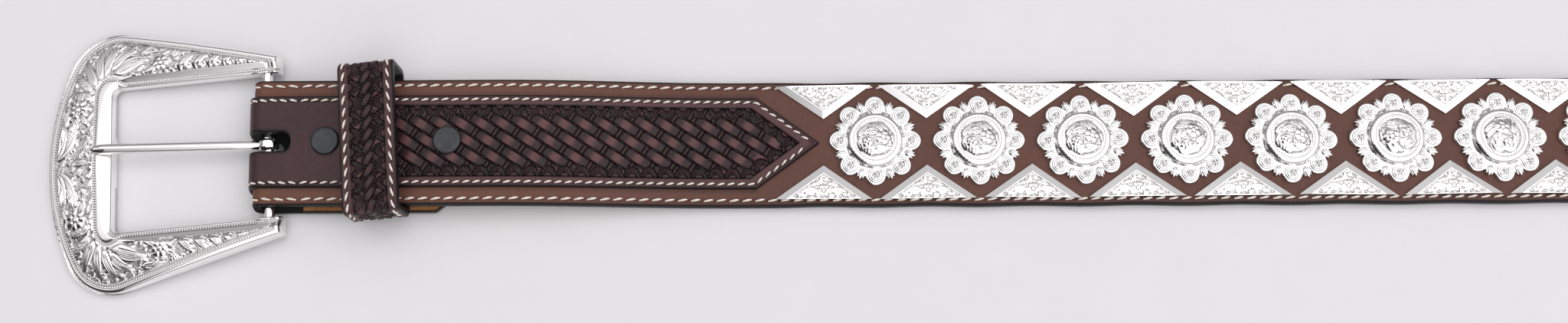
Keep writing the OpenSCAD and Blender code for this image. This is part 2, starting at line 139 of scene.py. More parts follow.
class Shape:
    """The vertices, faces and masks of one piece, in millimetres."""

    def __init__(self):
        self.verts, self.faces, self.dye, self.paint = [], [], [], []
        self.count = 0

    def add(self, verts, faces, dye=0.0, paint=0.0, slot=0):
        """Adds a closed part. A part that is inside out is turned."""
        verts = np.asarray(verts, float).reshape(-1, 3)
        faces = [np.atleast_2d(np.asarray(f)) for f in (faces if isinstance(faces, list) else [faces])]
        centred = verts - verts.mean(0)
        if signed_volume(centred, faces) < 0:
            faces = [f[:, ::-1] for f in faces]
        slots = slot if isinstance(slot, list) else [slot] * len(faces)
        self.faces += [(f + self.count, s) for f, s in zip(faces, slots)]
        self.verts.append(verts)
        self.dye.append(np.broadcast_to(np.ravel(dye) if np.ndim(dye) else dye, len(verts)))
        self.paint.append(np.broadcast_to(np.ravel(paint) if np.ndim(paint) else paint, len(verts)))
        self.count += len(verts)
        return self

    def take(self, other, change):
        """Adds a changed copy of another shape."""
        return self.add(change(other.points()), [f for f, _ in other.faces], np.concatenate(other.dye))

    def points(self):
        return np.vstack(self.verts)

    def move(self, change):
        """Passes every point through a function."""
        self.verts = [change(self.points())]
        return self

    def mesh(self, name, materials, origin=ORIGIN, sharp=38):
        mesh = bpy.data.meshes.new(name)
        verts = (self.points() + origin) * MM
        sizes = np.concatenate([np.full(len(f), f.shape[1]) for f, _ in self.faces])
        mesh.vertices.add(len(verts))
        mesh.vertices.foreach_set("co", verts.astype(np.float32).ravel())
        mesh.loops.add(int(sizes.sum()))
        mesh.loops.foreach_set(
            "vertex_index", np.concatenate([f.ravel() for f, _ in self.faces]).astype(np.int32)
        )
        mesh.polygons.add(len(sizes))
        mesh.polygons.foreach_set("loop_start", (np.cumsum(sizes) - sizes).astype(np.int32))
        slots = np.concatenate([np.full(len(f), s) for f, s in self.faces])
        mesh.polygons.foreach_set("material_index", slots.astype(np.int32))
        mesh.polygons.foreach_set("use_smooth", np.ones(len(sizes), bool))
        mesh.update(calc_edges=True)
        for mask in ("dye", "paint"):
            values = np.concatenate(getattr(self, mask)).astype(np.float32)
            mesh.attributes.new(mask, "FLOAT", "POINT").data.foreach_set("value", values)
        mesh.set_sharp_from_angle(angle=math.radians(sharp))
        for material in materials:
            mesh.materials.append(material)
        return mesh


def new_object(name, mesh):
    thing = bpy.data.objects.new(name, mesh)
    bpy.context.scene.collection.objects.link(thing)
    return thing


def make_piece(name, shape, materials, body, slot, nodes=(), **mesh_options):
    """A piece that rides on one body and stands for the CAD nodes named."""
    piece = new_object(name, shape.mesh(name, materials, **mesh_options))
    if body:
        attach(piece, body)
    if nodes:
        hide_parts(*nodes)
    return piece


def loft(shape, rings, wrap=False, back=None, dye=0.0, paint=0.0):
    """Closed rings joined in a row. back names the column whose faces take the second material."""
    rows, cols = rings.shape[:2]
    quads = grid_quads(rows, cols, wrap_rows=wrap, wrap_cols=True)
    faces, slots = [quads], [0]
    if back is not None:
        behind = np.isin(np.arange(len(quads)) % cols, [back])
        faces, slots = [quads[~behind], quads[behind]], [0, 1]
    if not wrap:
        last = (rows - 1) * cols
        faces += [np.arange(cols)[None, ::-1], np.arange(cols)[None, :] + last]
        slots += [0, 0]
    return shape.add(rings, faces, dye, paint, slots)


def turns(count):
    """Angles of equal steps round a full circle."""
    return np.arange(count) * 2 * math.pi / count


def round_point(angle):
    """Points on the unit circle."""
    return np.stack([np.cos(angle), np.sin(angle)], -1)


def lathe(shape, profile, around=48, at=(0, 0, 0), dye=0.0):
    """A closed solid of revolution from (radius, height) points that start and end on the axis."""
    profile = np.asarray(profile, float)
    middle, angle = profile[1:-1], turns(around)
    radius, height = middle[:, :1], np.repeat(middle[:, 1:], around, 1)
    ring = np.stack([radius * np.cos(angle), radius * np.sin(angle), height], -1).reshape(-1, 3)
    verts = np.vstack([ring, [[0, 0, profile[0, 1]], [0, 0, profile[-1, 1]]]]) + np.asarray(at)
    n, j = len(middle), np.arange(around)
    j2 = (j + 1) % around
    fans = [
        np.stack([np.full(around, n * around), j2, j], -1),
        np.stack([np.full(around, n * around + 1), (n - 1) * around + j, (n - 1) * around + j2], -1),
    ]
    return shape.add(verts, [grid_quads(n, around, wrap_cols=True)] + fans, dye)


def turn_z(points, angle):
    c, s = math.cos(angle), math.sin(angle)
    x, y, z = np.moveaxis(np.asarray(points), -1, 0)
    return np.stack([x * c - y * s, x * s + y * c, z], -1)


# ---- The strap's line ----


def rise(x):
    """Height of the strap's underside over the surface."""
    t = np.clip((np.asarray(x, float) - RISE_START) / (RISE_END - RISE_START), 0, 1)
    return LIFT * (1 + np.cos(math.pi * t)) / 2


def shear(points):
    """Leans the loop end so that it follows the fold's angle across the strap."""
    share = 1 - smooth_step(points[:, 0], JUNCTION, JUNCTION + 14)
    out = points.copy()
    out[:, 0] -= points[:, 1] * math.tan(FOLD_SKEW) * share
    return out


def nose_half(x, inset, width):
    """Half of the width inside the tapered and rounded tip, at an inset from the strap's edge."""
    radius = NOSE_R - inset
    taper = (radius - (x - NOSE_X) * math.sin(NOSE_ANGLE)) / math.cos(NOSE_ANGLE)
    nose = np.sqrt(np.maximum(radius**2 - np.maximum(x - NOSE_X, 0) ** 2, 0))
    past = x > NOSE_X + radius * math.sin(NOSE_ANGLE)
    return np.where(past, nose, np.minimum(width, taper))


def nose_stations(start, step, inset=0.0):
    """Stations up to the rounded tip, closer together where the outline turns."""
    round_start = NOSE_X + NOSE_R * math.sin(NOSE_ANGLE)
    angles = np.linspace(math.pi / 2 - NOSE_ANGLE, 0.03, 22)
    return np.concatenate([spans(start, step, round_start)[:-1], NOSE_X + (NOSE_R - inset) * np.cos(angles)])


EDGE_COLUMNS = np.array([0, 0.05, 0.15, 0.3, 0.5, 0.75, 1.05])


def edge_drop(distance, radius):
    inner = np.clip(radius - distance, 0, radius)
    return radius - np.sqrt(np.maximum(radius**2 - inner**2, 0))


def ply(
    shape, path, normal, half, back, face, columns,
    edge_r=0.8, back_r=0.15, side=0, slot=None, relief=None, wrap=False,
):
    """One ply of leather as a row of rings. path and normal are (n, 2) arrays of x and z, half is
    its half width at each station, and back and face are offsets along the normal. columns are
    insets from the edge, finest first. side 1 or -1 makes just one half, beyond the slot."""
    reach = columns[-1]
    share = np.clip(half / (1.3 * reach), 0, 1)[:, None]
    outer = half[:, None] - columns[None, :] * share
    inner_end = outer[:, -1:]
    if side:
        from_slot = slot[:, None] + EDGE_COLUMNS[None, :]
        middle = from_slot[:, -1:] + (inner_end - from_slot[:, -1:]) * np.linspace(0, 1, 9)[None, 1:-1]
        y = np.concatenate([from_slot, middle, outer[:, ::-1]], 1)
        gap = np.where(slot[:, None] > 0, y - slot[:, None], 99)
        edge = np.minimum(half[:, None] - y, gap)
    else:
        count = max(3, round(2 * (half.max() - reach) / max(columns[-1] - columns[-2], 0.1)))
        middle = inner_end * np.linspace(-1, 1, count + 1)[None, 1:-1]
        y = np.concatenate([-outer, middle, outer[:, ::-1]], 1)
        edge = half[:, None] - np.abs(y)
    x = np.broadcast_to(path[:, :1], y.shape)
    lift, dye = relief(x, y, edge) if relief else (np.zeros_like(y), np.zeros_like(y))
    sign = np.sign(face - back)
    offset = face - sign * (edge_drop(edge, edge_r) - lift * smooth_step(edge, 0.3, 0.9))
    corner_y = np.stack([y[:, -1], y[:, -1] - back_r, y[:, 0] + back_r, y[:, 0]], 1)
    corner_offset = np.array([back + sign * back_r, back, back, back + sign * back_r])
    y = np.concatenate([y, corner_y], 1)
    offset = np.concatenate([offset, np.broadcast_to(corner_offset, corner_y.shape)], 1)
    edge, dye = (np.pad(values, ((0, 0), (0, 4))) for values in (edge, dye))
    px = path[:, :1] + normal[:, :1] * offset
    pz = path[:, 1:] + normal[:, 1:] * offset
    rings = np.stack([px, y * side if side else y, pz], -1)
    paint = 1 - smooth_step(edge, 0.35, 1.0)
    return loft(shape, rings, wrap, back=rings.shape[1] - 3, dye=dye, paint=paint)


def flat_path(x):
    return np.stack([x, rise(x)], -1), np.tile([0.0, 1.0], (len(x), 1))


# ---- Stitches ----

STITCH_PITCH, INNER_PITCH, KEEPER_STITCH_PITCH = 3.8, 2.98, 3.6
STITCH_SINK = 0.5
INNER_THREAD = {"radius": 0.31, "slant": 0.3}


def length_along(line):
    return np.concatenate([[0], np.cumsum(np.linalg.norm(np.diff(line, axis=0), axis=1))])


def frames_along(line, normals, along, s):
    """Centre, tangent, normal and crosswise direction at the distances s along a line."""

    def at(values, s):
        return np.stack([np.interp(s, along, values[:, k]) for k in range(3)], -1)

    def unit(vectors):
        return vectors / np.linalg.norm(vectors, axis=-1, keepdims=True)

    tangent, up = unit(at(line, s + 0.05) - at(line, s - 0.05)), unit(at(normals, s))
    return at(line, s), tangent, up, np.cross(up, tangent)


def tube_faces(count, rows, around):
    """The faces of many equal closed tubes, one after the other."""
    starts = (np.arange(count) * rows * around)[:, None, None]
    caps = [np.arange(around)[::-1], np.arange(around) + (rows - 1) * around]
    faces = [(grid_quads(rows, around, wrap_cols=True)[None] + starts).reshape(-1, 4)]
    return faces + [(cap[None, None, :] + starts).reshape(-1, around) for cap in caps]


def stitches(shape, line, normals, pitch, radius=0.34, slant=0.3, height=0.18, around=8, stations=9):
    """Slanted stitches of two-ply thread along a line of 3-D points with surface normals."""
    along = length_along(line)
    count = int(along[-1] / pitch)
    tau, angle = np.linspace(0, 1, stations), turns(around)
    s = pitch * (np.arange(count)[:, None] + 0.09 + 0.82 * tau[None, :])
    centre, _, up, across = frames_along(line, normals, along, s)
    arch = np.sin(math.pi * tau) ** 0.55
    jitter = 0.05 * np.sin(np.arange(count) * 2.4)[:, None, None]
    centre = centre + across * ((slant * (2 * tau - 1))[None, :, None] + jitter)
    centre = centre + up * (height * arch + STITCH_SINK * (arch - 1))[None, :, None]
    twist = 1 + 0.13 * np.cos(2 * angle[None, :] - 11 * tau[:, None])
    size = radius * (0.45 + 0.55 * arch)[:, None] * twist
    ring = centre[:, :, None, :]
    ring = ring + across[:, :, None, :] * (size * np.cos(angle))[None, :, :, None]
    ring = ring + up[:, :, None, :] * (size * np.sin(angle))[None, :, :, None]
    return shape.add(ring, tube_faces(count, stations, around))


def upright(count):
    """Normals that all point up."""
    return np.tile([0.0, 0.0, 1.0], (count, 1))


def row_on_strap(plan, offset):
    """A line on the strap's face, or at any offset from its underside, from points in plan."""
    plan = np.asarray(plan, float)
    return shear(np.column_stack([plan, rise(plan[:, 0]) + offset])), upright(len(plan))


def resample(plan, step=0.5):
    plan = np.asarray(plan, float)
    along = length_along(plan)
    s = np.arange(0, along[-1], step)
    return np.stack([np.interp(s, along, plan[:, k]) for k in range(plan.shape[1])], -1)


# ---- Tooling and engraving patterns ----

STRIP_ANGLE = math.radians(-32.7)
STRIP_ROW, STRIP_LENGTH, STRIP_SHIFT = 3.25, 9.3, 5.06
SHELL_PITCH, SHELL_REACH = 4.9, 3.3


def basketweave(x, y):
    """Height and dye of slanted woven strips with a bar across each end."""
    along = x * math.cos(STRIP_ANGLE) + y * math.sin(STRIP_ANGLE)
    across = -x * math.sin(STRIP_ANGLE) + y * math.cos(STRIP_ANGLE)
    row = np.round(across / STRIP_ROW)
    side = np.abs(across - row * STRIP_ROW)
    phase = (along - STRIP_SHIFT * row) / STRIP_LENGTH
    phase = phase - np.round(phase)
    to_end = (0.5 - np.abs(phase)) * STRIP_LENGTH
    crown = 1 - (2 * np.abs(phase)) ** 2
    lines = np.cos(2 * math.pi * (across - row * STRIP_ROW) / 0.52)
    ends = smooth_step(np.abs(phase), 0.05, 0.27)
    height = -0.36 + 0.36 * crown - 0.06 * ends * (1 - lines)
    dye = 0.14 + 0.5 * ends + 0.14 * ends * (1 - lines)
    bar = smooth_step(-to_end, -0.5, -0.22)
    height = height * (1 - bar) - 0.16 * bar
    dye = dye * (1 - bar) + 0.62 * bar
    groove = bell(to_end - 0.62, 0.2) + smooth_step(side, STRIP_ROW / 2 - 0.42, STRIP_ROW / 2 - 0.16)
    groove = np.clip(groove, 0, 1)
    return height - 0.42 * groove, dye + (1 - dye) * groove


def shell_border(along, depth):
    """Height, dye and mask of fan-shaped stamps along a border line."""
    a = (along / SHELL_PITCH - np.round(along / SHELL_PITCH)) * SHELL_PITCH
    outer = np.hypot(a / (SHELL_PITCH * 0.5), depth / SHELL_REACH)
    inner = np.hypot(a / 1.35, depth / 0.95)
    ribs = np.cos(np.arctan2(depth / SHELL_REACH, a / (SHELL_PITCH * 0.5)) * 15)
    height = -0.16 - 0.15 * (1 - ribs) - 0.1 * outer
    dye = 0.58 + 0.21 * (1 - ribs)
    lip = smooth_step(outer, 0.84, 0.96)
    height, dye = height - 0.16 * lip, dye + (1 - dye) * lip
    eye = 1 - smooth_step(inner, 0.86, 1.0)
    ring = bell(inner - 1.02, 0.13)
    height = height * (1 - eye) - 0.02 * eye - 0.2 * ring
    dye = (dye * (1 - eye) + 0.22 * eye) * (1 - ring) + ring
    return height, dye, (outer < 1) & (depth > -0.1)


def tooled(x, y, sides, band_dye=0.5, weave=1.0):
    """Height and dye of a tooled field. Each side is (point, direction angle), with the field on
    the left of its direction."""
    nearest = np.full(np.shape(x), 1e3)
    along = np.zeros(np.shape(x))
    for (px, py), angle in sides:
        c, s = math.cos(angle), math.sin(angle)
        depth = -(x - px) * s + (y - py) * c
        closer = depth < nearest
        nearest = np.where(closer, depth, nearest)
        along = np.where(closer, (x - px) * c + (y - py) * s, along)
    height, dye = basketweave(x * weave, y * weave)
    shell_h, shell_dye, in_shell = shell_border(along, nearest)
    between = nearest < 0.75
    height = np.where(between, -0.34, height)
    dye = np.where(between, 0.95, dye)
    height = np.where(in_shell, shell_h, height)
    dye = np.where(in_shell, shell_dye, dye)
    inside = smooth_step(nearest, -0.02, 0.16)
    line = bell(nearest - 0.06, 0.3)
    height = height * inside - 0.32 * line
    dye = band_dye * (1 - inside) + dye * inside
    return height, dye + (1 - dye) * np.clip(line * 1.2, 0, 1)


def leaf_stroke(x, y, heading, length, width, bend, height, veins):
    """Where a curved leaf that starts at the origin lies, its height and its darkness."""
    c, s = math.cos(heading), math.sin(heading)
    a, b = x * c + y * s, -x * s + y * c
    if abs(bend) > 0.02:
        way = 1 if bend > 0 else -1
        radius = length / abs(bend)
        u = np.arctan2(a, radius - way * b) / abs(bend)
        n = radius - np.hypot(a, radius - way * b)
    else:
        u, n = a / length, b
    uc = np.clip(u, 1e-4, 1 - 1e-4)
    half = width / 2 * np.sin(math.pi * uc**0.62) ** 0.75
    q = np.clip(n / np.maximum(half, 1e-6), -1, 1)
    h = height * (0.35 + 0.65 * np.sqrt(1 - q**2)) * (0.55 + 0.45 * np.sin(math.pi * uc))
    dark = 0.75 * smooth_step(np.abs(q), 0.78, 1.0)
    for k in range(veins):
        at = (k + 1) / (veins + 1) * 2 - 1
        vein = bell((q - at * (0.4 + 0.6 * uc)) * half, 0.13) * smooth_step(uc, 0.08, 0.3)
        h = h - 0.32 * height * vein
        dark = np.maximum(dark, 0.6 * vein)
    return (u > 0) & (u < 1) & (np.abs(n) < half), h, dark


def flower_stroke(x, y, radius, petals, height, turn):
    """The same for a flower round the origin."""
    rho, phi = np.hypot(x, y) / radius, np.arctan2(y, x) + turn
    lobe = np.abs(np.cos(petals * phi / 2))
    h = height * (0.3 + 0.7 * np.sin(math.pi * np.clip(rho, 0, 1) ** 0.8)) * (0.55 + 0.45 * lobe)
    dark = 0.75 * bell(lobe, 0.22) * smooth_step(rho, 0.22, 0.4) + 0.7 * smooth_step(rho, 0.86, 1)
    core = 1 - smooth_step(rho, 0.24, 0.3)
    ring = bell(rho - 0.31, 0.05)
    h = h * (1 - core) + height * 0.9 * core - 0.3 * height * ring
    return rho < 0.74 + 0.26 * lobe, h, np.clip(dark * (1 - core) + 0.8 * ring, 0, 1)


class Engraving:
    """Chased ornament: each stroke covers what lies under it, on a matted ground."""

    def __init__(self, ground=0.2, mirrored=False):
        self.strokes, self.ground, self.mirrored = [], ground, mirrored

    def leaf(self, x, y, heading, length, width, bend=0.0, height=0.3, veins=2, flip=True):
        for way in (1, -1) if self.mirrored and flip else (1,):
            turned = (way * math.radians(heading), length, width, way * math.radians(bend))
            self.strokes.append((leaf_stroke, length, x, way * y, *turned, height, veins))

    def flower(self, x, y, radius, petals=6, height=0.3, turn=0.0):
        for way in (1, -1) if self.mirrored else (1,):
            self.strokes.append((flower_stroke, radius, x, way * y, radius, petals, height, way * turn))

    def curls(self, low, high, pitch, length, width, height=0.4):
        """Small curled leaves that fill the ground between two corners, in a staggered grid."""
        for j in range(int((high[1] - low[1]) / pitch) + 1):
            for i in range(int((high[0] - low[0]) / pitch) + 1):
                x, y = low[0] + (i + 0.5 * (j % 2)) * pitch, low[1] + j * pitch
                heading = 137.5 * (i * 7 + j * 3) % 360
                self.leaf(x, y, heading, length, width, 95 * (-1) ** (i + j), height, 1, flip=False)

    def at(self, x, y):
        """Height over the plain surface, and darkness."""
        matting = np.sin(x * 9.1 + 1.7 * np.sin(y * 7.3)) * np.sin(y * 9.7 + 1.3 * np.sin(x * 6.1))
        h, dark = -self.ground + 0.05 * matting, 0.6 - 0.2 * matting
        for stroke, reach, px, py, *shape in self.strokes:
            near = np.hypot(x - px, y - py) < reach * 1.05
            inside, height, darkness = stroke(x[near] - px, y[near] - py, *shape)
            h[near] = np.where(inside, height - 0.12, h[near])
            dark[near] = np.where(inside, darkness, dark[near])
        return h, dark


def beads(shape, line, pitch, size, lean=0.6, around=8):
    """A rope border: slanted beads along a line. size is (half length, half width, half height)."""
    along = length_along(line)
    count = max(2, round(along[-1] / pitch))
    s = (np.arange(count) + 0.5) * along[-1] / count
    verts, tangent, up, across = frames_along(line, upright(len(line)), along, s)
    long_way = tangent * math.cos(lean) + across * math.sin(lean)
    tilt = np.radians([-60, -20, 20, 60])
    ring = np.cos(tilt)[:, None, None] * round_point(turns(around))
    height = np.broadcast_to(np.sin(tilt)[:, None, None], (len(tilt), around, 1))
    unit = np.concatenate([ring, height], -1).reshape(-1, 3) * np.asarray(size)
    verts = verts[:, None, :]
    for k, way in enumerate((long_way, np.cross(up, long_way), up)):
        verts = verts + way[:, None, :] * unit[None, :, k : k + 1]
    return shape.add(verts, tube_faces(count, len(tilt), around))


# ---- Materials ----


def plug(tree, value, socket):
    """Links a node's output to a socket, or gives the socket a plain value."""
    if isinstance(value, bpy.types.NodeSocket):
        tree.links.new(value, socket)
    else:
        socket.default_value = (*value, 1) if isinstance(value, tuple) else value


class Nodes:
    """Short names for the nodes of a material or a world. The values go to its shader."""

    def __init__(self, owner, **values):
        owner.use_nodes = True
        self.owner, self.tree = owner, owner.node_tree
        self.shader = self.tree.nodes.get("Principled BSDF") or self.tree.nodes["Background"]
        self.place = self.tree.nodes.new("ShaderNodeTexCoord").outputs
        for name, value in values.items():
            self.link(value, name.replace("_", " "))

    def link(self, value, name):
        plug(self.tree, value, self.shader.inputs[name])

    def node(self, kind, **inputs):
        node = self.tree.nodes.new(f"ShaderNode{kind}")
        for name, value in inputs.items():
            plug(self.tree, value, node.inputs[name.replace("_", " ")])
        return node

    def noise(self, scale, detail=4.0, rough=0.55, stretch=None):
        place = self.place["Object"]
        if stretch:
            place = self.node("Mapping", Scale=list(stretch), Vector=place).outputs[0]
        return self.node("TexNoise", Scale=scale, Detail=detail, Roughness=rough, Vector=place).outputs["Fac"]

    def cells(self, scale, feature="DISTANCE_TO_EDGE"):
        node = self.node("TexVoronoi")
        node.feature = feature
        plug(self.tree, scale, node.inputs["Scale"])
        plug(self.tree, self.place["Object"], node.inputs["Vector"])
        return node.outputs["Distance"]

    def mask(self, name):
        node = self.node("Attribute")
        node.attribute_name = name
        return node.outputs["Fac"]

    def ramp(self, value, *stops, blend="LINEAR"):
        """stops are (place, grey or colour)."""
        node = self.node("ValToRGB", Fac=value)
        node.color_ramp.interpolation = blend
        elements = node.color_ramp.elements
        while len(elements) < len(stops):
            elements.new(0.5)
        for element, (at, colour) in zip(elements, stops):
            element.position = at
            element.color = (*(colour if isinstance(colour, tuple) else (colour,) * 3), 1)
        return node.outputs["Color"]

    def mix(self, share, a, b, blend="MIX"):
        node = self.node("Mix")
        node.data_type, node.blend_type = "RGBA", blend
        for value, socket in ((share, 0), (a, 6), (b, 7)):
            plug(self.tree, value, node.inputs[socket])
        return node.outputs[2]

    def maths(self, kind, a, b):
        node = self.node("Math")
        node.operation = kind
        for value, socket in zip((a, b), node.inputs):
            plug(self.tree, value, socket)
        return node.outputs[0]

    def add(self, a, b):
        return self.maths("ADD", a, b)

    def times(self, a, b):
        return self.maths("MULTIPLY", a, b)

    def bump(self, height, strength, distance, **normal):
        node = self.node("Bump", Strength=strength, Distance=distance, Height=height, **normal)
        return node.outputs["Normal"]


def material(name, **values):
    return Nodes(bpy.data.materials.new(name), **values)


BLACK_PAINT = (0.006, 0.005, 0.006)


def leather(name, light, mid, dark, gloss=0.42, grain=0.35, pores=2600):
    """Smooth dyed leather: the mask of dye and painted shading runs from light through mid to dark."""
    n = material(name, Specular_IOR_Level=0.26, Coat_Weight=0.04, Coat_Roughness=0.3)
    cloudy, fine = n.noise(70, 5, 0.6), n.noise(900, 6, 0.65)
    tone = n.add(n.mask("dye"), n.times(n.maths("SUBTRACT", cloudy, 0.5), 0.34))
    tone = n.add(tone, n.times(n.maths("SUBTRACT", fine, 0.5), 0.26))
    colour = n.ramp(tone, (0.0, light), (0.5, mid), (1.0, dark))
    pore = n.ramp(n.cells(pores), (0.0, 0.72), (0.16, 1.0))
    n.link(n.mix(n.mask("paint"), n.mix(1.0, colour, pore, "MULTIPLY"), BLACK_PAINT), "Base Color")
    n.link(n.ramp(fine, (0.3, gloss - 0.07), (0.7, gloss + 0.12)), "Roughness")
    skin = n.bump(n.cells(pores, "F1"), grain, 0.00012)
    n.link(n.bump(n.noise(420, 7, 0.7), 0.22, 0.0002, Normal=skin), "Normal")
    return n.owner


def suede(name, light, dark):
    n = material(name, Specular_IOR_Level=0.2, Sheen_Weight=0.35, Sheen_Roughness=0.5)
    fibre, blotch = n.noise(1500, 9, 0.75), n.noise(140, 6, 0.7)
    colour = n.ramp(n.add(n.times(fibre, 0.55), n.times(blotch, 0.45)), (0.34, dark), (0.62, light))
    n.link(n.mix(n.mask("paint"), colour, BLACK_PAINT), "Base Color")
    n.link(n.ramp(fibre, (0.3, 0.8), (0.7, 0.98)), "Roughness")
    n.link(n.bump(fibre, 0.7, 0.0004), "Normal")
    return n.owner


def thread(name):
    n = material(name, Specular_IOR_Level=0.3, Sheen_Weight=0.25, Sheen_Roughness=0.4)
    fuzz = n.noise(3800, 6, 0.7, stretch=(1, 2.6, 2.6))
    colour = n.ramp(fuzz, (0.25, (0.60, 0.49, 0.40)), (0.6, (0.93, 0.87, 0.79)))
    n.link(n.mix(n.times(n.noise(160, 3), 0.4), colour, (0.92, 0.89, 0.84)), "Base Color")
    n.link(n.ramp(fuzz, (0.3, 0.62), (0.7, 0.86)), "Roughness")
    n.link(n.bump(fuzz, 0.5, 0.0002), "Normal")
    return n.owner


def silver(name, bright, recess, gloss=0.13, wear_and_highlight=0.5):
    """Polished silver plate whose engraved recesses hold a grey tarnish."""
    n = material(name, Metallic=1.0)
    cloud, scratch = n.noise(55, 4, 0.6), n.noise(1300, 5, 0.7, stretch=(1, 5, 1))
    depth = n.times(n.mask("dye"), n.add(n.times(cloud, 0.5), 0.72))
    shine = n.mix(n.times(cloud, 0.25), bright, tuple(c * 0.93 for c in bright))
    n.link(n.mix(depth, shine, recess), "Base Color")
    rough = n.add(n.times(depth, 0.28), n.times(scratch, 0.07))
    n.link(n.add(rough, gloss - 0.035), "Roughness")
    n.link(n.bump(scratch, 0.05 * wear_and_highlight, 0.0002), "Normal")
    return n.owner


def snap_black(name):
    n = material(name, Metallic=0.7)
    haze = n.noise(700, 6, 0.7)
    n.link(n.ramp(haze, (0.3, (0.035, 0.038, 0.042)), (0.7, (0.075, 0.08, 0.085))), "Base Color")
    n.link(n.ramp(haze, (0.3, 0.34), (0.7, 0.5)), "Roughness")
    n.link(n.bump(haze, 0.12, 0.0001), "Normal")
    return n.owner


def paper(name):
    n = material(name, Specular_IOR_Level=0.2)
    speck = n.noise(60, 5, 0.6)
    n.link(n.ramp(speck, (0.3, (0.80, 0.79, 0.80)), (0.7, (0.815, 0.805, 0.815))), "Base Color")
    n.link(n.ramp(speck, (0.3, 0.8), (0.7, 0.9)), "Roughness")
    return n.owner


STRAP_LEATHER = leather(
    "strap_leather", (0.190, 0.080, 0.050), (0.132, 0.056, 0.042), (0.046, 0.018, 0.015), 0.5
)
OVERLAY_LEATHER = leather(
    "overlay_leather", (0.150, 0.062, 0.062), (0.062, 0.028, 0.030), (0.006, 0.0045, 0.0055), 0.36, 0.3
)
LINING_LEATHER = leather("lining_leather", (0.42, 0.23, 0.12), (0.33, 0.17, 0.085), (0.16, 0.08, 0.04), 0.6)
FLESH = suede("flesh_side", (0.58, 0.27, 0.10), (0.24, 0.095, 0.035))
THREAD = thread("waxed_thread")
SILVER = silver("engraved_silver", (0.97, 0.965, 0.96), (0.40, 0.39, 0.385))
POLISHED = silver("polished_silver", (0.92, 0.915, 0.905), (0.30, 0.29, 0.28), gloss=0.07)
STEEL = silver("nickel_steel", (0.60, 0.60, 0.61), (0.2, 0.2, 0.2), gloss=0.24, wear_and_highlight=1.5)
SNAP_BLACK = snap_black("blackened_snap")


# ---- Strap ----

STRAP_COLUMNS = np.append(EDGE_COLUMNS, [1.3, 1.55, 1.85, 2.15, 2.4, 2.8, 3.6])


def edge_groove(edge, depth):
    return -depth * bell(edge - EDGE_STITCH_INSET, 0.42)


def inner_groove(edge):
    """How deep in the overlay's stitch groove a point lies, from 0 to 1."""
    return bell(edge - OVERLAY_STITCH_INSET, 0.36)


def strap_relief(x, y, edge):
    """Stitch groove, and darker bands beside the strap's edge and beside the overlay's edge."""
    height = edge_groove(edge, 0.26)
    dye = 0.46 + 0.3 * bell(edge - EDGE_STITCH_INSET, 0.4) + 0.12 * bell(edge - 1.1, 0.5)
    dye = dye - 0.25 * (1 - smooth_step(x, 60, 150))
    # A darker band on the strap along the overlay's straight edges.
    beside = bell(np.abs(y) - OVERLAY_HALF - 0.5, 0.55) * (x < OVERLAY_POINT - OVERLAY_TAPER)
    return height, dye + 0.3 * beside


def wavy_half(x):
    """The plates' prongs draw the strap's edges in a little."""
    plates = smooth_step(x, FIRST_PLATE - 10, FIRST_PLATE + 12) * (1 - smooth_step(x, 725, 745))
    phase = 2 * math.pi * (x - FIRST_PLATE - PLATE_W / 2) / PITCH
    return nose_half(x, 0, HALF_W) - 0.14 * plates * (1 + np.cos(phase))


def cut(piece, *cutters):
    """Takes cylinders (x, y, radius, low, high) out of a piece."""
    tool = Shape()
    for x, y, radius, low, high in cutters:
        lathe(tool, [(0, low), (radius, low), (radius, high), (0, high)], 40, (x, y, 0))
    other = new_object("cutter", tool.mesh("cutter", list(piece.data.materials)))
    change = piece.modifiers.new("holes", "BOOLEAN")
    change.operation, change.solver, change.object = "DIFFERENCE", "EXACT", other
    with_holes = bpy.data.meshes.new_from_object(piece.evaluated_get(bpy.context.evaluated_depsgraph_get()))
    piece.modifiers.remove(change)
    piece.data = with_holes
    bpy.data.objects.remove(other)


def billet_holes(low, high):
    first = MIDDLE_HOLE - HOLE_PITCH * (HOLE_COUNT - 1) / 2
    return [(first + i * HOLE_PITCH, 0, HOLE_R, low, high) for i in range(HOLE_COUNT)]


def strap_ply(name, x, half, back, face, columns, material, slot, node, **options):
    """One flat ply of the strap, sheared to the fold's angle at the loop end."""
    shape = ply(Shape(), *flat_path(x), half, back, face, columns, **options).move(shear)
    return make_piece(name, shape, [material, FLESH], "strap", slot, [node])


def outer_strap():
    x = nose_stations(JUNCTION, 0.95)
    look = (STRAP_LEATHER, "strap_leather", "outer_strap")
    piece = strap_ply(
        "strap_main_ply", x, wavy_half(x), LINING_T, BODY_T, STRAP_COLUMNS, *look, relief=strap_relief
    )
    cut(piece, *billet_holes(-1, 6))


def lining_relief(x, y, edge):
    return edge_groove(edge, 0.3), 0.45 + 0.35 * bell(edge - EDGE_STITCH_INSET, 0.5)


def lining_strap():
    x = nose_stations(JUNCTION, 1.3)
    look = (LINING_LEATHER, "lining_leather", "lining_strap")
    options = {"edge_r": 0.6, "back_r": 0.1, "relief": lining_relief}
    piece = strap_ply("strap_lining", x, wavy_half(x), LINING_T, 0, STRAP_COLUMNS, *look, **options)
    screws = [(FIRST_CONCHO + i * PITCH, CONCHO_Y, SCREW_R, -1, SCREW_T) for i in range(CONCHO_COUNT)]
    cut(piece, *billet_holes(-1, 3), *screws)


OVERLAY_COLUMNS = np.array([0, 0.05, 0.15, 0.3, 0.5, 0.75, 0.95, 1.15, 1.4, 1.65, 1.9, 2.2, 2.6, 2.95, 3.13])
FIELD_START, FIELD_POINT = 35, OVERLAY_POINT - 6.2


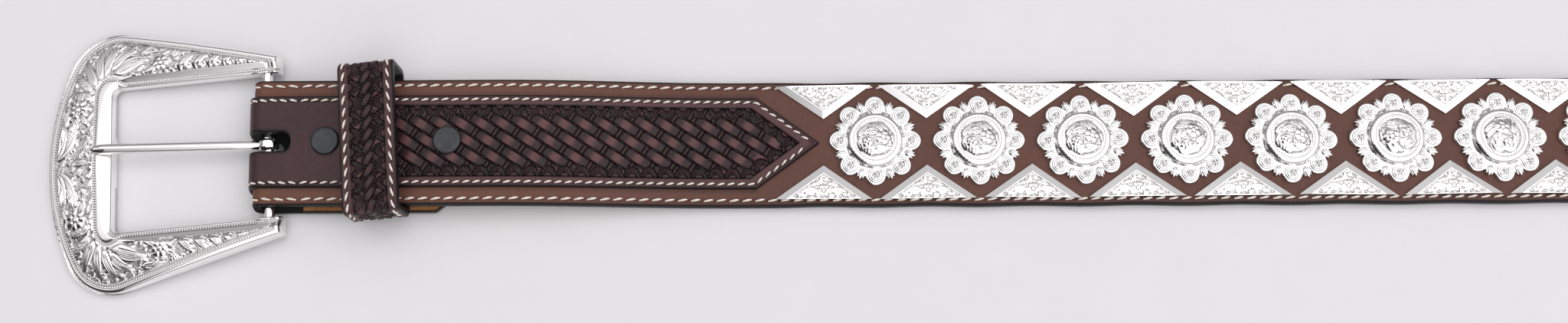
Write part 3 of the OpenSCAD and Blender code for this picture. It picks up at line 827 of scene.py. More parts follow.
def tooled_overlay(end, x, step, half, sides):
    """A tooled overlay on the strap's face, with its field between the sides given. step is the
    spacing of the field's stations and columns."""

    def relief(x, y, edge):
        # The plain border is redder away from the fold.
        height, dye = tooled(x, y, sides, 0.5 - 0.24 * smooth_step(x, 18, 44))
        groove = inner_groove(edge)
        return height - 0.24 * groove, dye + 0.25 * groove

    columns = np.append(OVERLAY_COLUMNS, OVERLAY_COLUMNS[-1] + step)
    look = (OVERLAY_LEATHER, "overlay_leather", f"{end}_end_overlay")
    name = f"tooled_overlay_{end}_end"
    return strap_ply(name, x, half(x), BODY_T, BODY_T + OVERLAY_T, columns, *look, edge_r=0.6, relief=relief)


def overlay_half(x):
    taper = (OVERLAY_POINT - x) * math.tan(POINT_ANGLE)
    return np.minimum(OVERLAY_HALF, np.maximum(taper, 0.02))


def buckle_end_overlay():
    step = 0.215
    sides = [
        ((FIELD_START, -FIELD_HALF), 0.0),
        ((FIELD_POINT, 0), math.pi - POINT_ANGLE),
        ((FIELD_POINT - FIELD_HALF / math.tan(POINT_ANGLE), -FIELD_HALF), POINT_ANGLE),
        ((FIELD_START, FIELD_HALF), math.pi),
        ((FIELD_START, 0), -math.pi / 2),
    ]
    tooled_overlay(
        "buckle", spans(JUNCTION, 0.6, FIELD_START, step, OVERLAY_POINT - 0.1), step, overlay_half, sides
    )


def tip_overlay_half(x):
    """Half of the tip overlay's width: a point towards the conchos and the strap's own tip."""
    start = (x - TIP_OVERLAY_POINT) * math.tan(POINT_ANGLE)
    return np.maximum(np.minimum(nose_half(x, HALF_W - OVERLAY_HALF, OVERLAY_HALF), start), 0.02)


def tip_end_overlay():
    step = 0.34
    nose_x = NOSE_X + (NOSE_R - (HALF_W - FIELD_HALF)) / math.sin(NOSE_ANGLE)
    first = TIP_OVERLAY_POINT + OVERLAY_POINT - FIELD_POINT
    sides = [
        ((first, 0), -POINT_ANGLE),
        ((first, -FIELD_HALF), 0.0),
        ((nose_x, 0), math.pi - NOSE_ANGLE),
        ((nose_x, 0), NOSE_ANGLE),
        ((first, FIELD_HALF), math.pi),
        ((first, 0), POINT_ANGLE + math.pi),
    ]
    x = spans(TIP_OVERLAY_POINT + 0.1, step, NOSE_X, 0.12, TIP_OVERLAY_END - 0.02)
    cut(tooled_overlay("tip", x, step, tip_overlay_half, sides), *billet_holes(2, 6))


# ---- Loop end ----


def fold_path():
    """Stations round the bar, from the strap's face to the flap's, as offsets from the bend's middle."""
    away = np.linspace(FOLD_LEN, 0, 34)[:-1, None] * np.array([1, 0])
    bend = round_point(np.linspace(math.pi / 2, 3 * math.pi / 2, 37))
    above = np.tile([0.0, 1.0], (len(away), 1))
    return np.concatenate([away, 0 * bend, away[::-1]]), np.concatenate([above, bend, -above])


def slot_half(along, end):
    """Half width of the tongue slot, with round ends, at a distance from the bend's middle."""
    past = np.clip(along - (end - SLOT_HALF), 0, SLOT_HALF)
    return np.sqrt(np.maximum(SLOT_HALF**2 - past**2, 0)) * (along < end)


def to_fold(points):
    """From the bend's own frame to the belt's. The flap comes back a little lower than the strap."""
    out = points.copy()
    out[:, 1] -= PEEK * smooth_step(-points[:, 2], -FOLD_R, FOLD_R)
    out[:, 0] = FOLD_X + points[:, 0] / math.cos(FOLD_SKEW) - out[:, 1] * math.tan(FOLD_SKEW)
    out[:, 2] += FOLD_CENTRE_Z
    return out


def bend_with_flap(piece):
    """Bakes a fold piece's placement into its mesh."""
    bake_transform(piece)


def fold_leather():
    path, normal = fold_path()
    below = normal[:, 1] < -0.99
    slot = np.where(below, slot_half(path[:, 0], SLOT_END_BELOW), slot_half(path[:, 0], SLOT_END))

    def smooth_relief(x, y, edge):
        # Painted highlight: the strap leather is painted lighter within about 3 mm of the bend.
        wear_and_highlight = 0.12 * bell(x, 3.0)
        return edge_groove(np.abs(HALF_W - y), 0.26), 0.28 + 0 * x - wear_and_highlight

    def overlay_relief(x, y, edge):
        groove = inner_groove(OVERLAY_HALF - y)
        # Painted shade: the overlay is painted darker within about a millimetre of the tongue slot.
        painted_slot_shade = bell(np.where(y < 6, edge, 9), 1.2)
        return -0.24 * groove, 0.5 + 0.25 * groove + 0.25 * painted_slot_shade

    def fold_ply(name, half, low, thick, columns, edge_r, relief, material, slot_name, node):
        shape = Shape()
        widths = np.full(len(path), half)
        for side in (1, -1):
            ply(shape, path, normal, widths, low, low + thick, columns, edge_r, 0.15, side, slot, relief)
        shape.move(to_fold)
        bend_with_flap(make_piece(name, shape, [material, FLESH], None, slot_name, [node]))

    look = (smooth_relief, STRAP_LEATHER, "strap_leather", "fold_wrap")
    fold_ply("fold_main_ply", HALF_W, FOLD_R, MAIN_T, STRAP_COLUMNS, 0.8, *look)
    look = (overlay_relief, OVERLAY_LEATHER, "overlay_leather", "fold_overlay")
    fold_ply("fold_overlay_ply", OVERLAY_HALF, FOLD_R + MAIN_T, OVERLAY_T, OVERLAY_COLUMNS, 0.6, *look)


def flap_half(x, width):
    """Half of the flap's width at x, with the corners cut off."""
    return width - np.clip((x - (FLAP_END - FLAP_CHAMFER)) / FLAP_CHAMFER, 0, 1) * width / 2


def on_flap(points):
    return shear(points - np.array([0, PEEK, 0]))


def flap():
    x = spans(JUNCTION, 0.7, FLAP_END)
    path, normal = np.stack([x, 0 * x], -1), np.tile([0.0, 1.0], (len(x), 1))

    def rough(x, y, edge):
        fibres = 0.05 * np.sin(x * 3.1 + 2 * np.sin(y * 1.3)) * np.sin(y * 2.7 + np.sin(x * 1.9))
        return fibres, np.zeros_like(x)

    def facing_relief(x, y, edge):
        groove = inner_groove(edge)
        return -0.2 * groove, 0.5 + 0.25 * groove

    def flap_ply(name, width, face, columns, back_r, relief, materials, slot, node):
        shape = ply(
            Shape(), path, normal, flap_half(x, width), OVERLAY_T, face, columns, 0.5, back_r, relief=relief
        )
        return make_piece(name, shape.move(on_flap), materials, "turnback", slot, [node])

    look = (rough, [FLESH, STRAP_LEATHER], "strap_leather", "turnback_flap")
    flap_ply("turnback_main_ply", HALF_W, OVERLAY_T + MAIN_T, STRAP_COLUMNS, 0.3, *look)
    look = (facing_relief, [OVERLAY_LEATHER, FLESH], "overlay_leather", "flap_facing")
    piece = flap_ply("turnback_facing", OVERLAY_HALF, 0, OVERLAY_COLUMNS, 0.1, *look)
    cut(piece, *[(x, 0, SNAP_POST_R, -1, 0.6) for x in SNAPS])


# ---- Stitching ----


def fold_row(y, offset):
    """A row of stitches round the bend, from the strap's face towards the front of the fold."""
    path, normal = (stations[:53] for stations in fold_path())
    points = np.insert(path, 1, y, axis=1)
    up = np.insert(normal, 1, 0, axis=1)
    return to_fold(points + up * offset), up


def stitching():
    """Every row of stitches but the keeper's."""
    inset, mirror = OVERLAY_STITCH_INSET, np.array([1, -1])
    face = BODY_T + OVERLAY_T

    def sewn(name, lines, offset, pitch, **look):
        rows = Shape()
        for line in lines:
            stitches(rows, *row_on_strap(line, offset), pitch, **look)
        make_piece(name, rows, [THREAD], "strap", "thread", [name])

    x = nose_stations(JUNCTION + 0.4, 0.6, EDGE_STITCH_INSET)
    radius = NOSE_R - EDGE_STITCH_INSET
    nose = np.sqrt(np.maximum(radius**2 - (x - NOSE_X) ** 2, 0))
    past = x > NOSE_X + radius * math.sin(NOSE_ANGLE)
    half = np.where(past, nose, nose_half(x, 0, HALF_W) - EDGE_STITCH_INSET)
    edge = np.column_stack([x, half])
    sewn("edge_stitching", (edge, edge * mirror), BODY_T, STITCH_PITCH)

    behind = Shape()
    points, normals = row_on_strap(np.vstack([edge, (edge * mirror)[::-1]]), 0.32)
    stitches(behind, points, -normals, STITCH_PITCH, 0.3, 0.1, 0.0, around=6, stations=6)
    make_piece("back_stitching", behind, [THREAD], "strap", "thread")

    shoulder = OVERLAY_POINT - OVERLAY_TAPER - inset * math.tan(POINT_ANGLE / 2)
    point = OVERLAY_POINT - inset / math.sin(POINT_ANGLE)
    line = resample([(JUNCTION + 0.4, OVERLAY_HALF - inset), (shoulder, OVERLAY_HALF - inset), (point, 0)])
    sewn("overlay_stitching", (line, line * mirror), face, INNER_PITCH, **INNER_THREAD)

    x = spans(TIP_OVERLAY_POINT + inset / math.sin(POINT_ANGLE), 0.4, TIP_OVERLAY_END - inset)
    pointed = np.clip(tip_overlay_half(x) - inset / math.cos(POINT_ANGLE), 0, OVERLAY_HALF - inset)
    half = np.where(x < TIP_OVERLAY_POINT + 22, pointed, np.maximum(tip_overlay_half(x) - inset, 0))
    line = np.column_stack([x, half])
    sewn("tip_overlay_stitching", (line, line * mirror), face, INNER_PITCH, **INNER_THREAD)

    folded = Shape()
    outer = (HALF_W - EDGE_STITCH_INSET, FOLD_R + MAIN_T, STITCH_PITCH)
    inner = (OVERLAY_HALF - inset, FOLD_R + MAIN_T + OVERLAY_T, INNER_PITCH)
    for y, offset, pitch in (outer, inner):
        for way in (1, -1):
            stitches(folded, *fold_row(way * y, offset), pitch, slant=-0.24)
    bend_with_flap(make_piece("fold_stitching", folded, [THREAD], None, "thread"))


# ---- Snaps ----


def snap_caps():
    r = SNAP_R
    profile = [(0, 0), (r - 0.25, 0), (r, 0.28), (r, 0.55), (r - 0.12, 0.82), (r - 0.4, 1.02)]
    profile += [(r - 0.85, 1.1), (r - 1.3, 1.04), (r - 1.7, 0.98), (1.2, 0.95), (0, 0.95)]
    for i, x in enumerate(SNAPS):
        shape = lathe(Shape(), profile, 64, (x, 0, LIFT + BODY_T + OVERLAY_T))
        make_piece(f"snap_cap_{i + 1}", shape, [SNAP_BLACK], "strap", "snap_black", [f"snap_cap_{i + 1}"])


# ---- Conchos ----


def concho_centre():
    """The swirl: two comma-shaped lobes of leaves, with a flower in one of them."""
    e = Engraving()
    for k in range(5):
        e.leaf(-3.6 + 0.55 * k, -2.9 - 0.35 * k, 118 - 14 * k, 4.4 - 0.4 * k, 1.35, -80, 0.4, 1)
    e.leaf(-4.2, 0.4, 78, 4.6, 1.5, -75, 0.42, 1)
    e.leaf(-2.9, 0.9, 62, 4.0, 1.4, -80, 0.45, 1)
    e.leaf(-1.7, 0.9, 40, 3.2, 1.3, -80, 0.45, 1)
    e.leaf(-0.9, 3.9, -5, 4.4, 1.4, -90, 0.42, 1)
    e.leaf(0.6, 4.4, -20, 4.6, 1.2, -70, 0.4, 1)
    e.leaf(0.2, -2.0, -30, 4.4, 1.5, 60, 0.4, 1)
    e.leaf(-0.8, -3.4, -10, 4.6, 1.3, 50, 0.4, 1)
    e.leaf(4.6, -1.8, 75, 3.8, 1.3, 50, 0.42, 1)
    e.flower(2.0, 0.35, 2.1, 5, 0.55)
    e.flower(-2.2, -0.9, 1.5, 4, 0.5, 0.5)
    return e


BERRY_RING, BERRY_R, BUD_X, CENTRE_SCALE, SWIRL_R = 10.6, 3.05, 9.3, 1.18, 2.85
ROPE_RING, ROPE_Z = 6.2, 2.5


def concho_dome(x, y):
    return 4.0 - 0.0414 * (x**2 + y**2)


def concho_shape():
    shape, angle = Shape(), turns(132)
    radii = np.concatenate([spans(0.12, 0.16, 5.75), [5.95, 6.1]])
    x, y = np.outer(radii, np.cos(angle)), np.outer(radii, np.sin(angle))
    h, dark = concho_centre().at(x / CENTRE_SCALE, y / CENTRE_SCALE)
    share = (1 - smooth_step(radii, 5.45, 5.7))[:, None]
    face = np.stack([x, y, concho_dome(x, y) + h * share * 1.05], -1)
    # Radius, height and darkness from the dome's foot over the collar to the back.
    collar = [(6.5, 2.5, 0.5), (6.6, 2.76, 0.2), (6.9, 2.86, 0.1), (7.3, 2.78, 0.05), (7.7, 2.58, 0.0)]
    collar += [(8.05, 2.25, 0.0), (8.3, 1.8, 0.05), (8.5, 1.3, 0.3), (8.7, 1.08, 0.3), (9.6, 1.06, 0.08)]
    collar += [(10.9, 1.0, 0.08), (11.3, 0.8, 0.1), (11.3, 0.0, 0.3), (0.12, 0.0, 0.0)]
    r, height, tone = np.array(collar).T[:, :, None]
    rays = (0.5 + 0.5 * np.cos(44 * angle)) * bell(r - 7.3, 0.6)
    rim = np.stack([r * np.cos(angle), r * np.sin(angle), height - 0.07 * rays], -1)
    loft(shape, np.concatenate([face, rim]), dye=np.vstack([dark * share, tone + 0.3 * rays]))
    ring = ROPE_RING * round_point(np.append(angle, 0))
    beads(shape, np.insert(ring, 2, ROPE_Z, axis=1), 0.72, (0.42, 0.27, 0.36))
    swirl = np.linspace(0, math.pi, 16)
    half = SWIRL_R * np.column_stack([np.sin(swirl), np.cos(swirl)])
    curve = np.vstack([half + (0, SWIRL_R), (half * (-1, 1) - (0, SWIRL_R))[1:]])
    curve = turn_z(np.column_stack([curve, concho_dome(*curve.T) + 0.1]), math.radians(62))
    beads(shape, curve, 0.55, (0.34, 0.24, 0.3))
    berry, bud = berry_shape(), bud_shape()
    for k in range(8):
        turn = k * math.pi / 4
        shape.take(berry, lambda points: turn_z(points + (BERRY_RING, 0, 0), turn))
        shape.take(bud, lambda points: turn_z(points, turn + math.pi / 8))
    return shape


def berry_shape():
    """One berry: rings round a small star-shaped flower."""
    rho = np.concatenate([[0.03, 0.09, 0.15, 0.21, 0.27, 0.33, 0.4], np.linspace(0.46, 1, 12)])
    angle, r = turns(40), rho[:, None]
    star = 0.5 + 0.5 * np.cos(5 * angle)
    z = 0.72 + 0.78 * np.sqrt(np.maximum(1 - (r * 0.985) ** 2.6, 0))
    z = z - 0.17 * bell(r - 0.76, 0.045) - 0.15 * bell(r - 0.56, 0.04)
    well = 1 - smooth_step(r, 0.3, 0.42)
    z = z - well * (0.42 - 0.34 * star * bell(r - 0.2, 0.13)) + 0.3 * bell(r, 0.07)
    dark = 0.62 * well * (1 - 0.75 * star) + 0.42 * bell(r - 0.76, 0.05) + 0.42 * bell(r - 0.56, 0.05)
    dark = dark + 0.25 * smooth_step(r, 0.97, 1.0)
    rings = np.stack([BERRY_R * r * np.cos(angle), BERRY_R * r * np.sin(angle), z], -1)
    skirt = rings[-1:] * (1, 1, 0)
    rings = np.concatenate([rings, skirt, skirt * (0.3, 0.3, 1)])
    return loft(Shape(), rings, dye=np.pad(dark, ((0, 2), (0, 0)), constant_values=0.3))


def bud_shape():
    """The pointed bud between two berries: a middle petal and one on each side."""
    part = Shape()
    u, q = np.linspace(0, 1, 12)[:, None], np.linspace(-1, 1, 9)
    for turn, length, width, low in ((0.0, 3.4, 1.7, 1.15), (0.3, 3.0, 1.5, 0.95), (-0.3, 3.0, 1.5, 0.95)):
        half = width / 2 * np.sin(math.pi * np.clip(u, 0.02, 0.985) ** 0.75) ** 0.7
        x, y = length * u + 0 * q, half * q
        z = low + 0.5 * np.sqrt(np.maximum(1 - q**2, 0)) * np.sin(math.pi * (0.1 + 0.85 * u))
        top = np.stack([x, y, z - 0.14 * bell(q, 0.16)], -1)
        rings = np.concatenate([top, top[:, [-1, 0]] * (1, 1, 0)], 1)
        tone = 0.45 * bell(q, 0.2) + 0.35 * smooth_step(np.abs(q), 0.75, 1) + 0 * x
        tone = np.pad(tone, ((0, 0), (0, 2)), constant_values=0.4)
        loft(part, turn_z(rings, turn) + (BUD_X, 0, 0), dye=tone)
    return part


def place_copy(name, mesh, x, y, turn, node):
    """One copy of an ornament, on the strap's face."""
    piece = new_object(name, mesh)
    piece.location = (np.array([x, y, BODY_T]) + ORIGIN) * MM
    piece.rotation_euler.z = turn
    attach(piece, "strap")
    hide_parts(node)


def conchos():
    mesh = concho_shape().mesh("berry_concho", [SILVER], origin=np.zeros(3), sharp=50)
    # Degrees that each one is turned by, as it happened to be screwed in.
    angles = (0, 0, 2, 45, -3, 180, 90, 0, 135, 45, 180, -45, 2, 90, 0, 225, 45, 180)
    for i, angle in enumerate(angles):
        x, number = FIRST_CONCHO + i * PITCH, f"{i + 1:02d}"
        place_copy(f"berry_concho_{number}", mesh, x, CONCHO_Y, math.radians(angle), f"concho_{number}")


# ---- Plates ----


def plate_engraving():
    e = Engraving()
    e.curls((-12, 0), (12, 9), 1.3, 1.9, 0.8, 0.16)
    for way in (1, -1):
        heading = 0 if way > 0 else 180
        e.leaf(way * 2.2, 2.2, heading + way * 28, 4.6, 1.7, -way * 60, 0.26, 1)
        e.leaf(way * 3.0, 1.3, heading + way * 14, 4.8, 1.5, way * 40, 0.25, 1)
        e.leaf(way * 5.6, 1.1, heading + way * 10, 4.4, 1.3, way * 22, 0.24, 1)
        e.leaf(way * 5.0, 2.6, heading - way * 12, 2.8, 1.0, way * 40, 0.24, 1)
        e.leaf(way * 1.2, 4.4, heading + way * 10, 3.2, 1.1, -way * 50, 0.25, 1)
        e.leaf(way * 0.5, 5.3, 90 - way * 30, 2.4, 0.9, way * 35, 0.24, 1)
        e.flower(way * 7.2, 1.35, 0.75, 4, 0.25)
    e.flower(0.0, 2.55, 1.95, 6, 0.36)
    return e


def plate_shape():
    side = math.atan2(PLATE_H, PLATE_W / 2)
    inset_x, inset_y = PLATE_BEVEL / math.sin(side), PLATE_BEVEL / math.cos(side)
    half, apex = PLATE_W / 2 - inset_x, PLATE_H - inset_y
    v = np.linspace(0, 1, 38)[:, None]
    x = half * (np.maximum(1 - v, 0.0005) * np.linspace(-1, 1, 96))
    y = apex * v + 0 * x
    to_side = (PLATE_H - y) * math.cos(side) - np.abs(x) * math.sin(side) - PLATE_BEVEL
    h, dark = plate_engraving().at(x, y)
    share = smooth_step(to_side, 0.2, 0.45) * smooth_step(y, 0.3, 0.55)
    line = bell(to_side - 0.32, 0.12)
    face = np.stack([x, y, PLATE_T + h * share - 0.06 * line], -1)

    def bevel(way):
        """Columns that continue the field's slanted edge down to the plate's edge and its back."""
        t = np.array([0.04, 0.9, 1.0])
        out_x, out_y = way * (half + inset_x * t) * (1 - v), (apex + inset_y * t) * v
        strip = np.stack([out_x, out_y, PLATE_T + (PLATE_EDGE - PLATE_T) * t + 0 * v], -1)
        return np.concatenate([strip, strip[:, -1:] * (1, 1, 0)], 1)

    rings = np.concatenate([bevel(-1)[:, ::-1], face, bevel(1)], 1)
    return loft(Shape(), rings, dye=np.pad(dark * share * 0.8 + 0.4 * line, ((0, 0), (4, 4))))


def plates():
    mesh = plate_shape().mesh("triangular_plate", [POLISHED], origin=np.zeros(3), sharp=12)
    for row, base, turn in (("upper", UPPER_BASE, math.pi), ("lower", LOWER_BASE, 0)):
        for i in range(CONCHO_COUNT + 1):
            x = FIRST_PLATE + PLATE_W / 2 + i * PITCH
            # The first plates sit a little lower than the rest.
            low = 0.5 * (1 - smooth_step(x, 160, 320))
            crooked = turn + math.radians(0.8) * math.sin(i * 2.3 + (turn > 0))
            place_copy(f"{row}_plate_{i + 1:02d}", mesh, x, base - low, crooked, f"{row}_plates")


# ---- Keeper ----


def rounded_loop(half, low, high, radius, step):
    """Points and outward normals round a rectangle with rounded corners, in y and z."""
    y, low, high = half - radius, low + radius, high - radius
    centres = np.array([(y, high), (-y, high), (-y, low), (y, low)])
    points, normals = [], []
    for k, centre in enumerate(centres):
        out = round_point(np.radians(np.linspace(90 * k, 90 * k + 90, 9)))
        start, end = centre + radius * out[-1], centres[(k + 1) % 4] + radius * out[-1]
        count = max(2, round(np.linalg.norm(end - start) / step[k]))
        share = np.linspace(0, 1, count + 1)[1:-1, None]
        points += [centre + radius * out, start + (end - start) * share]
        normals += [out, np.repeat(out[-1:], count - 1, 0)]
    return np.vstack(points), np.vstack(normals)


def keeper():
    inset, field, inside_z = 1.7, 5.0, KEEPER_LOW + KEEPER_BACK_T
    steps = (0.2, 0.3, 1.2, 0.3)
    points, normals = rounded_loop(KEEPER_INNER_HALF, inside_z, KEEPER_HIGH - KEEPER_T, 1.0, steps)
    around, face = length_along(points + normals), points[:, 1] > KEEPER_HIGH - KEEPER_T - 0.3
    around -= np.interp(0, -points[face, 0], around[face])
    columns = np.append(EDGE_COLUMNS, [1.3, 1.5, 1.7, 1.9, 2.1, 2.4, 2.9, 3.4, 3.6, 3.8])

    def relief(x, y, edge):
        along = np.broadcast_to(around[:, None], y.shape)
        height, dye = tooled(along, y, [((0, -field), 0.0), ((0, field), math.pi)], 0.3, weave=1.7)
        dye = np.maximum(dye, 0.56 * (np.abs(y) < field - SHELL_REACH))
        groove = bell(edge - inset, 0.4)
        on_back = (points[:, 1:] < KEEPER_MIDDLE) & (np.abs(x) < 20)
        height, dye = np.where(on_back, 0, height), np.where(on_back, 0.5, dye)
        return height - 0.24 * groove, dye + 0.25 * groove

    def place(p):
        """Stands the loop across the strap. Its back is thinner than its face."""
        z = np.where(p[:, 2] < inside_z, inside_z - (inside_z - p[:, 2]) * KEEPER_BACK_T / KEEPER_T, p[:, 2])
        return turn_z(np.stack([p[:, 1], p[:, 0], z], -1), KEEPER_SKEW) + (KEEPER_X, 0, 0)

    half = np.full(len(points), KEEPER_HALF)
    shape = ply(Shape(), points, normals, half, 0.0, KEEPER_T, columns, relief=relief, wrap=True).move(place)
    shape.faces = [(f[:, ::-1], s) for f, s in shape.faces]
    make_piece("keeper_loop", shape, [OVERLAY_LEATHER, FLESH], "keeper", "overlay_leather", ["keeper_loop"])
    rows, upper = Shape(), points[:, 1] > KEEPER_MIDDLE
    order = np.argsort(np.arctan2(-points[upper, 0], points[upper, 1] - KEEPER_MIDDLE))
    face, out = (values[upper][order] for values in (points + normals * KEEPER_T, normals))
    up = turn_z(np.insert(out, 0, 0, axis=1), KEEPER_SKEW)
    for way in (1, -1):
        line = place(np.insert(face, 1, way * (KEEPER_HALF - inset), axis=1))
        stitches(rows, line, up, KEEPER_STITCH_PITCH, slant=way * 0.42)
    make_piece("keeper_stitching", rows, [THREAD], "keeper", "thread", ["keeper_stitching"])


# ---- Buckle ----

TIP_REACH, ARM_SLOPE = 3.6, math.radians(14.5)
WINDOW_X, WINDOW_HALF, WINDOW_R = -47, 22.1, 2.2
END_R, CORNER_R = 79, 15.4
END_X = END_R - BUCKLE_REACH
ARM_D = 2.4 * math.sin(ARM_SLOPE) + 27.9 * math.cos(ARM_SLOPE)
CORNER_D = ARM_D - CORNER_R
CORNER_B = math.cos(ARM_SLOPE) ** 2 * END_X + CORNER_D * math.sin(ARM_SLOPE)
CORNER_C = (math.cos(ARM_SLOPE) * END_X) ** 2 + CORNER_D**2 - (math.cos(ARM_SLOPE) * (END_R - CORNER_R)) ** 2
CORNER_X = CORNER_B - math.sqrt(CORNER_B**2 - CORNER_C)
CORNER = np.array([CORNER_X, (CORNER_D - math.sin(ARM_SLOPE) * CORNER_X) / math.cos(ARM_SLOPE)])
DOME_R, DOME_X, DOME_Z = 192, -19, 5.4
BACK_Z = -3
TONGUE_SKEW = TONGUE_PITCH = math.radians(3.6)
TONGUE_LIFT, HOLLOW_R, HOLLOW_END = 0.5, 1.66, 53.2
RIM_R, RIM_ROPE, SECOND_ROPE = 1.5, 2.0, 2.85


def at_bar(points):
    """From the buckle's own frame, with the bar as its y axis, to the belt's."""
    c, s = math.cos(BUCKLE_DROOP), math.sin(BUCKLE_DROOP)
    x, z = points[:, 0] * c - points[:, 2] * s, points[:, 0] * s + points[:, 2] * c
    out = turn_z(np.stack([x, points[:, 1], z], -1), BUCKLE_SKEW)
    out[:, 2] += FOLD_CENTRE_Z
    return out


def from_window(x, y):
    qx, qy = WINDOW_X + WINDOW_R - x, np.abs(y) - (WINDOW_HALF - WINDOW_R)
    return np.hypot(np.maximum(qx, 0), np.maximum(qy, 0)) + np.minimum(np.maximum(qx, qy), 0) - WINDOW_R


def from_outline(x, y):
    y = np.abs(y)
    to_arm = ARM_D - (x * math.sin(ARM_SLOPE) + y * math.cos(ARM_SLOPE))
    to_end = END_R - np.hypot(x - END_X, y)
    cx, cy = x - CORNER[0], y - CORNER[1]
    bearing, away = np.degrees(np.arctan2(cy, cx)), np.hypot(cx, cy)
    low, high = 90 - math.degrees(ARM_SLOPE), math.degrees(math.atan2(CORNER[1], CORNER[0] - END_X))
    in_corner = (bearing > low) & (bearing < high) & (away > 4)
    rest = np.where((bearing <= low) & (bearing > -90), to_arm, to_end)
    rest = np.where(away <= 4, np.minimum(to_arm, to_end), rest)
    return np.minimum(np.where(in_corner, CORNER_R - away, rest), TIP_REACH - x)


def buckle_face(x, y):
    """The face's height before its ornament: a low dome that falls off towards the window."""
    dome = DOME_Z - DOME_R + np.sqrt(DOME_R**2 - (x - DOME_X) ** 2 - y**2)
    return np.minimum(dome, 1.1 + 0.452 * np.maximum(from_window(x, y), 0))


def buckle_edges(count):
    """Matching points on the window's edge and on the outline, from one arm's tip to the other's."""
    arm, corner, end = (int(count * share) for share in (0.265, 0.115, 0.12))
    high = math.atan2(CORNER[1], CORNER[0] - END_X)
    along, turn = np.linspace(0, 1, arm)[:, None], np.linspace(0, 1, corner + 1)[1:]
    across = np.linspace(1, 0, end + 1)[1:]
    arm_start = np.array([TIP_REACH, (ARM_D - TIP_REACH * math.sin(ARM_SLOPE)) / math.cos(ARM_SLOPE)])
    arm_end = CORNER + CORNER_R * np.array([math.sin(ARM_SLOPE), math.cos(ARM_SLOPE)])
    window_start = np.array([TIP_REACH, WINDOW_HALF])
    window_end = np.array([WINDOW_X + WINDOW_R, WINDOW_HALF])
    inner = [
        window_start + (window_end - window_start) * along,
        window_end - (0, WINDOW_R) + WINDOW_R * round_point(math.pi / 2 + turn * math.pi / 2),
        np.column_stack([np.full(end, WINDOW_X), across * (WINDOW_HALF - WINDOW_R)]),
    ]
    outer = [
        arm_start + (arm_end - arm_start) * along,
        CORNER + CORNER_R * round_point(math.pi / 2 - ARM_SLOPE + turn * (high - math.pi / 2 + ARM_SLOPE)),
        (END_X, 0) + END_R * round_point(math.pi - across * (math.pi - high)),
    ]
    return [np.vstack([*line, np.vstack(line)[-2::-1] * (1, -1)]) for line in (inner, outer)]


def buckle_engraving():
    e = Engraving(ground=0.34, mirrored=True)
    e.curls((-66, -42), (0, 42), 1.9, 2.9, 1.25)
    # Arms: curved leaves that lean towards the bar and grow smaller towards its ends.
    for k, x in enumerate((-25.5, -21.0, -16.6, -12.4, -8.4, -4.8, -1.8)):
        room = 6.4 - 0.62 * k
        low = 25.0 + 0.05 * k
        e.flower(x + 2.7, low + 0.55 * 1.2, 0.28 * room, 5, 0.35)
        e.leaf(x, low - 0.1, 78, room * 1.25, room * 0.4, -62, 0.6, 2)
        e.leaf(x + 0.5, low + 0.1, 50, room * 0.55, room * 0.22, -70, 0.45, 1)
    # Arm roots: two flowers with leaves round them, then the broad shell leaf of the corner.
    e.leaf(-36.5, 25.4, 20, 6.5, 2.4, 35, 0.45, 2)
    e.leaf(-37.5, 33.0, 10, 8.0, 2.6, -30, 0.5, 3)
    e.leaf(-30.0, 33.4, -5, 6.0, 1.8, -30, 0.45, 2)
    e.flower(-31.6, 28.6, 2.7, 6, 0.6)
    e.flower(-27.4, 31.4, 1.5, 5, 0.5)
    e.leaf(-46.0, 26.6, 42, 11.5, 5.2, -48, 0.7, 5)
    e.leaf(-47.2, 28.0, 66, 10.0, 3.6, -58, 0.7, 4)
    e.leaf(-49.0, 27.0, 88, 10.5, 3.2, -50, 0.6, 3)
    e.leaf(-50.5, 25.5, 108, 11.0, 3.0, -40, 0.6, 3)
    e.leaf(-52.0, 24.0, 124, 10.5, 3.2, -26, 0.6, 3)
    e.leaf(-53.4, 22.4, 138, 9.5, 2.9, -14, 0.6, 3)
    # End: an acanthus that fans out from the middle of the edge, with a flower in its curl.
    e.leaf(-53.0, 19.6, 150, 8.5, 3.0, 30, 0.6, 3)
    e.leaf(-64.4, 2.0, 36, 15.5, 4.4, 62, 0.75, 4)
    e.leaf(-64.6, 2.2, 54, 12.5, 3.4, 48, 0.75, 3)
    e.leaf(-64.6, 2.6, 70, 9.6, 2.6, 36, 0.7, 2)
    e.leaf(-64.4, 4.6, 88, 7.0, 2.0, 16, 0.6, 2)
    e.leaf(-61.8, 13.0, 62, 5.2, 2.4, 50, 0.6, 2)
    e.flower(-57.6, 17.0, 3.5, 7, 0.8)
    e.flower(-61.9, 20.4, 1.7, 5, 0.5)
    e.leaf(-54.8, 11.6, 96, 5.2, 2.0, 60, 0.55, 2)
    e.leaf(-59.4, 0.0, 0, 7.0, 2.2, 0, 0.6, 3, flip=False)
    return e


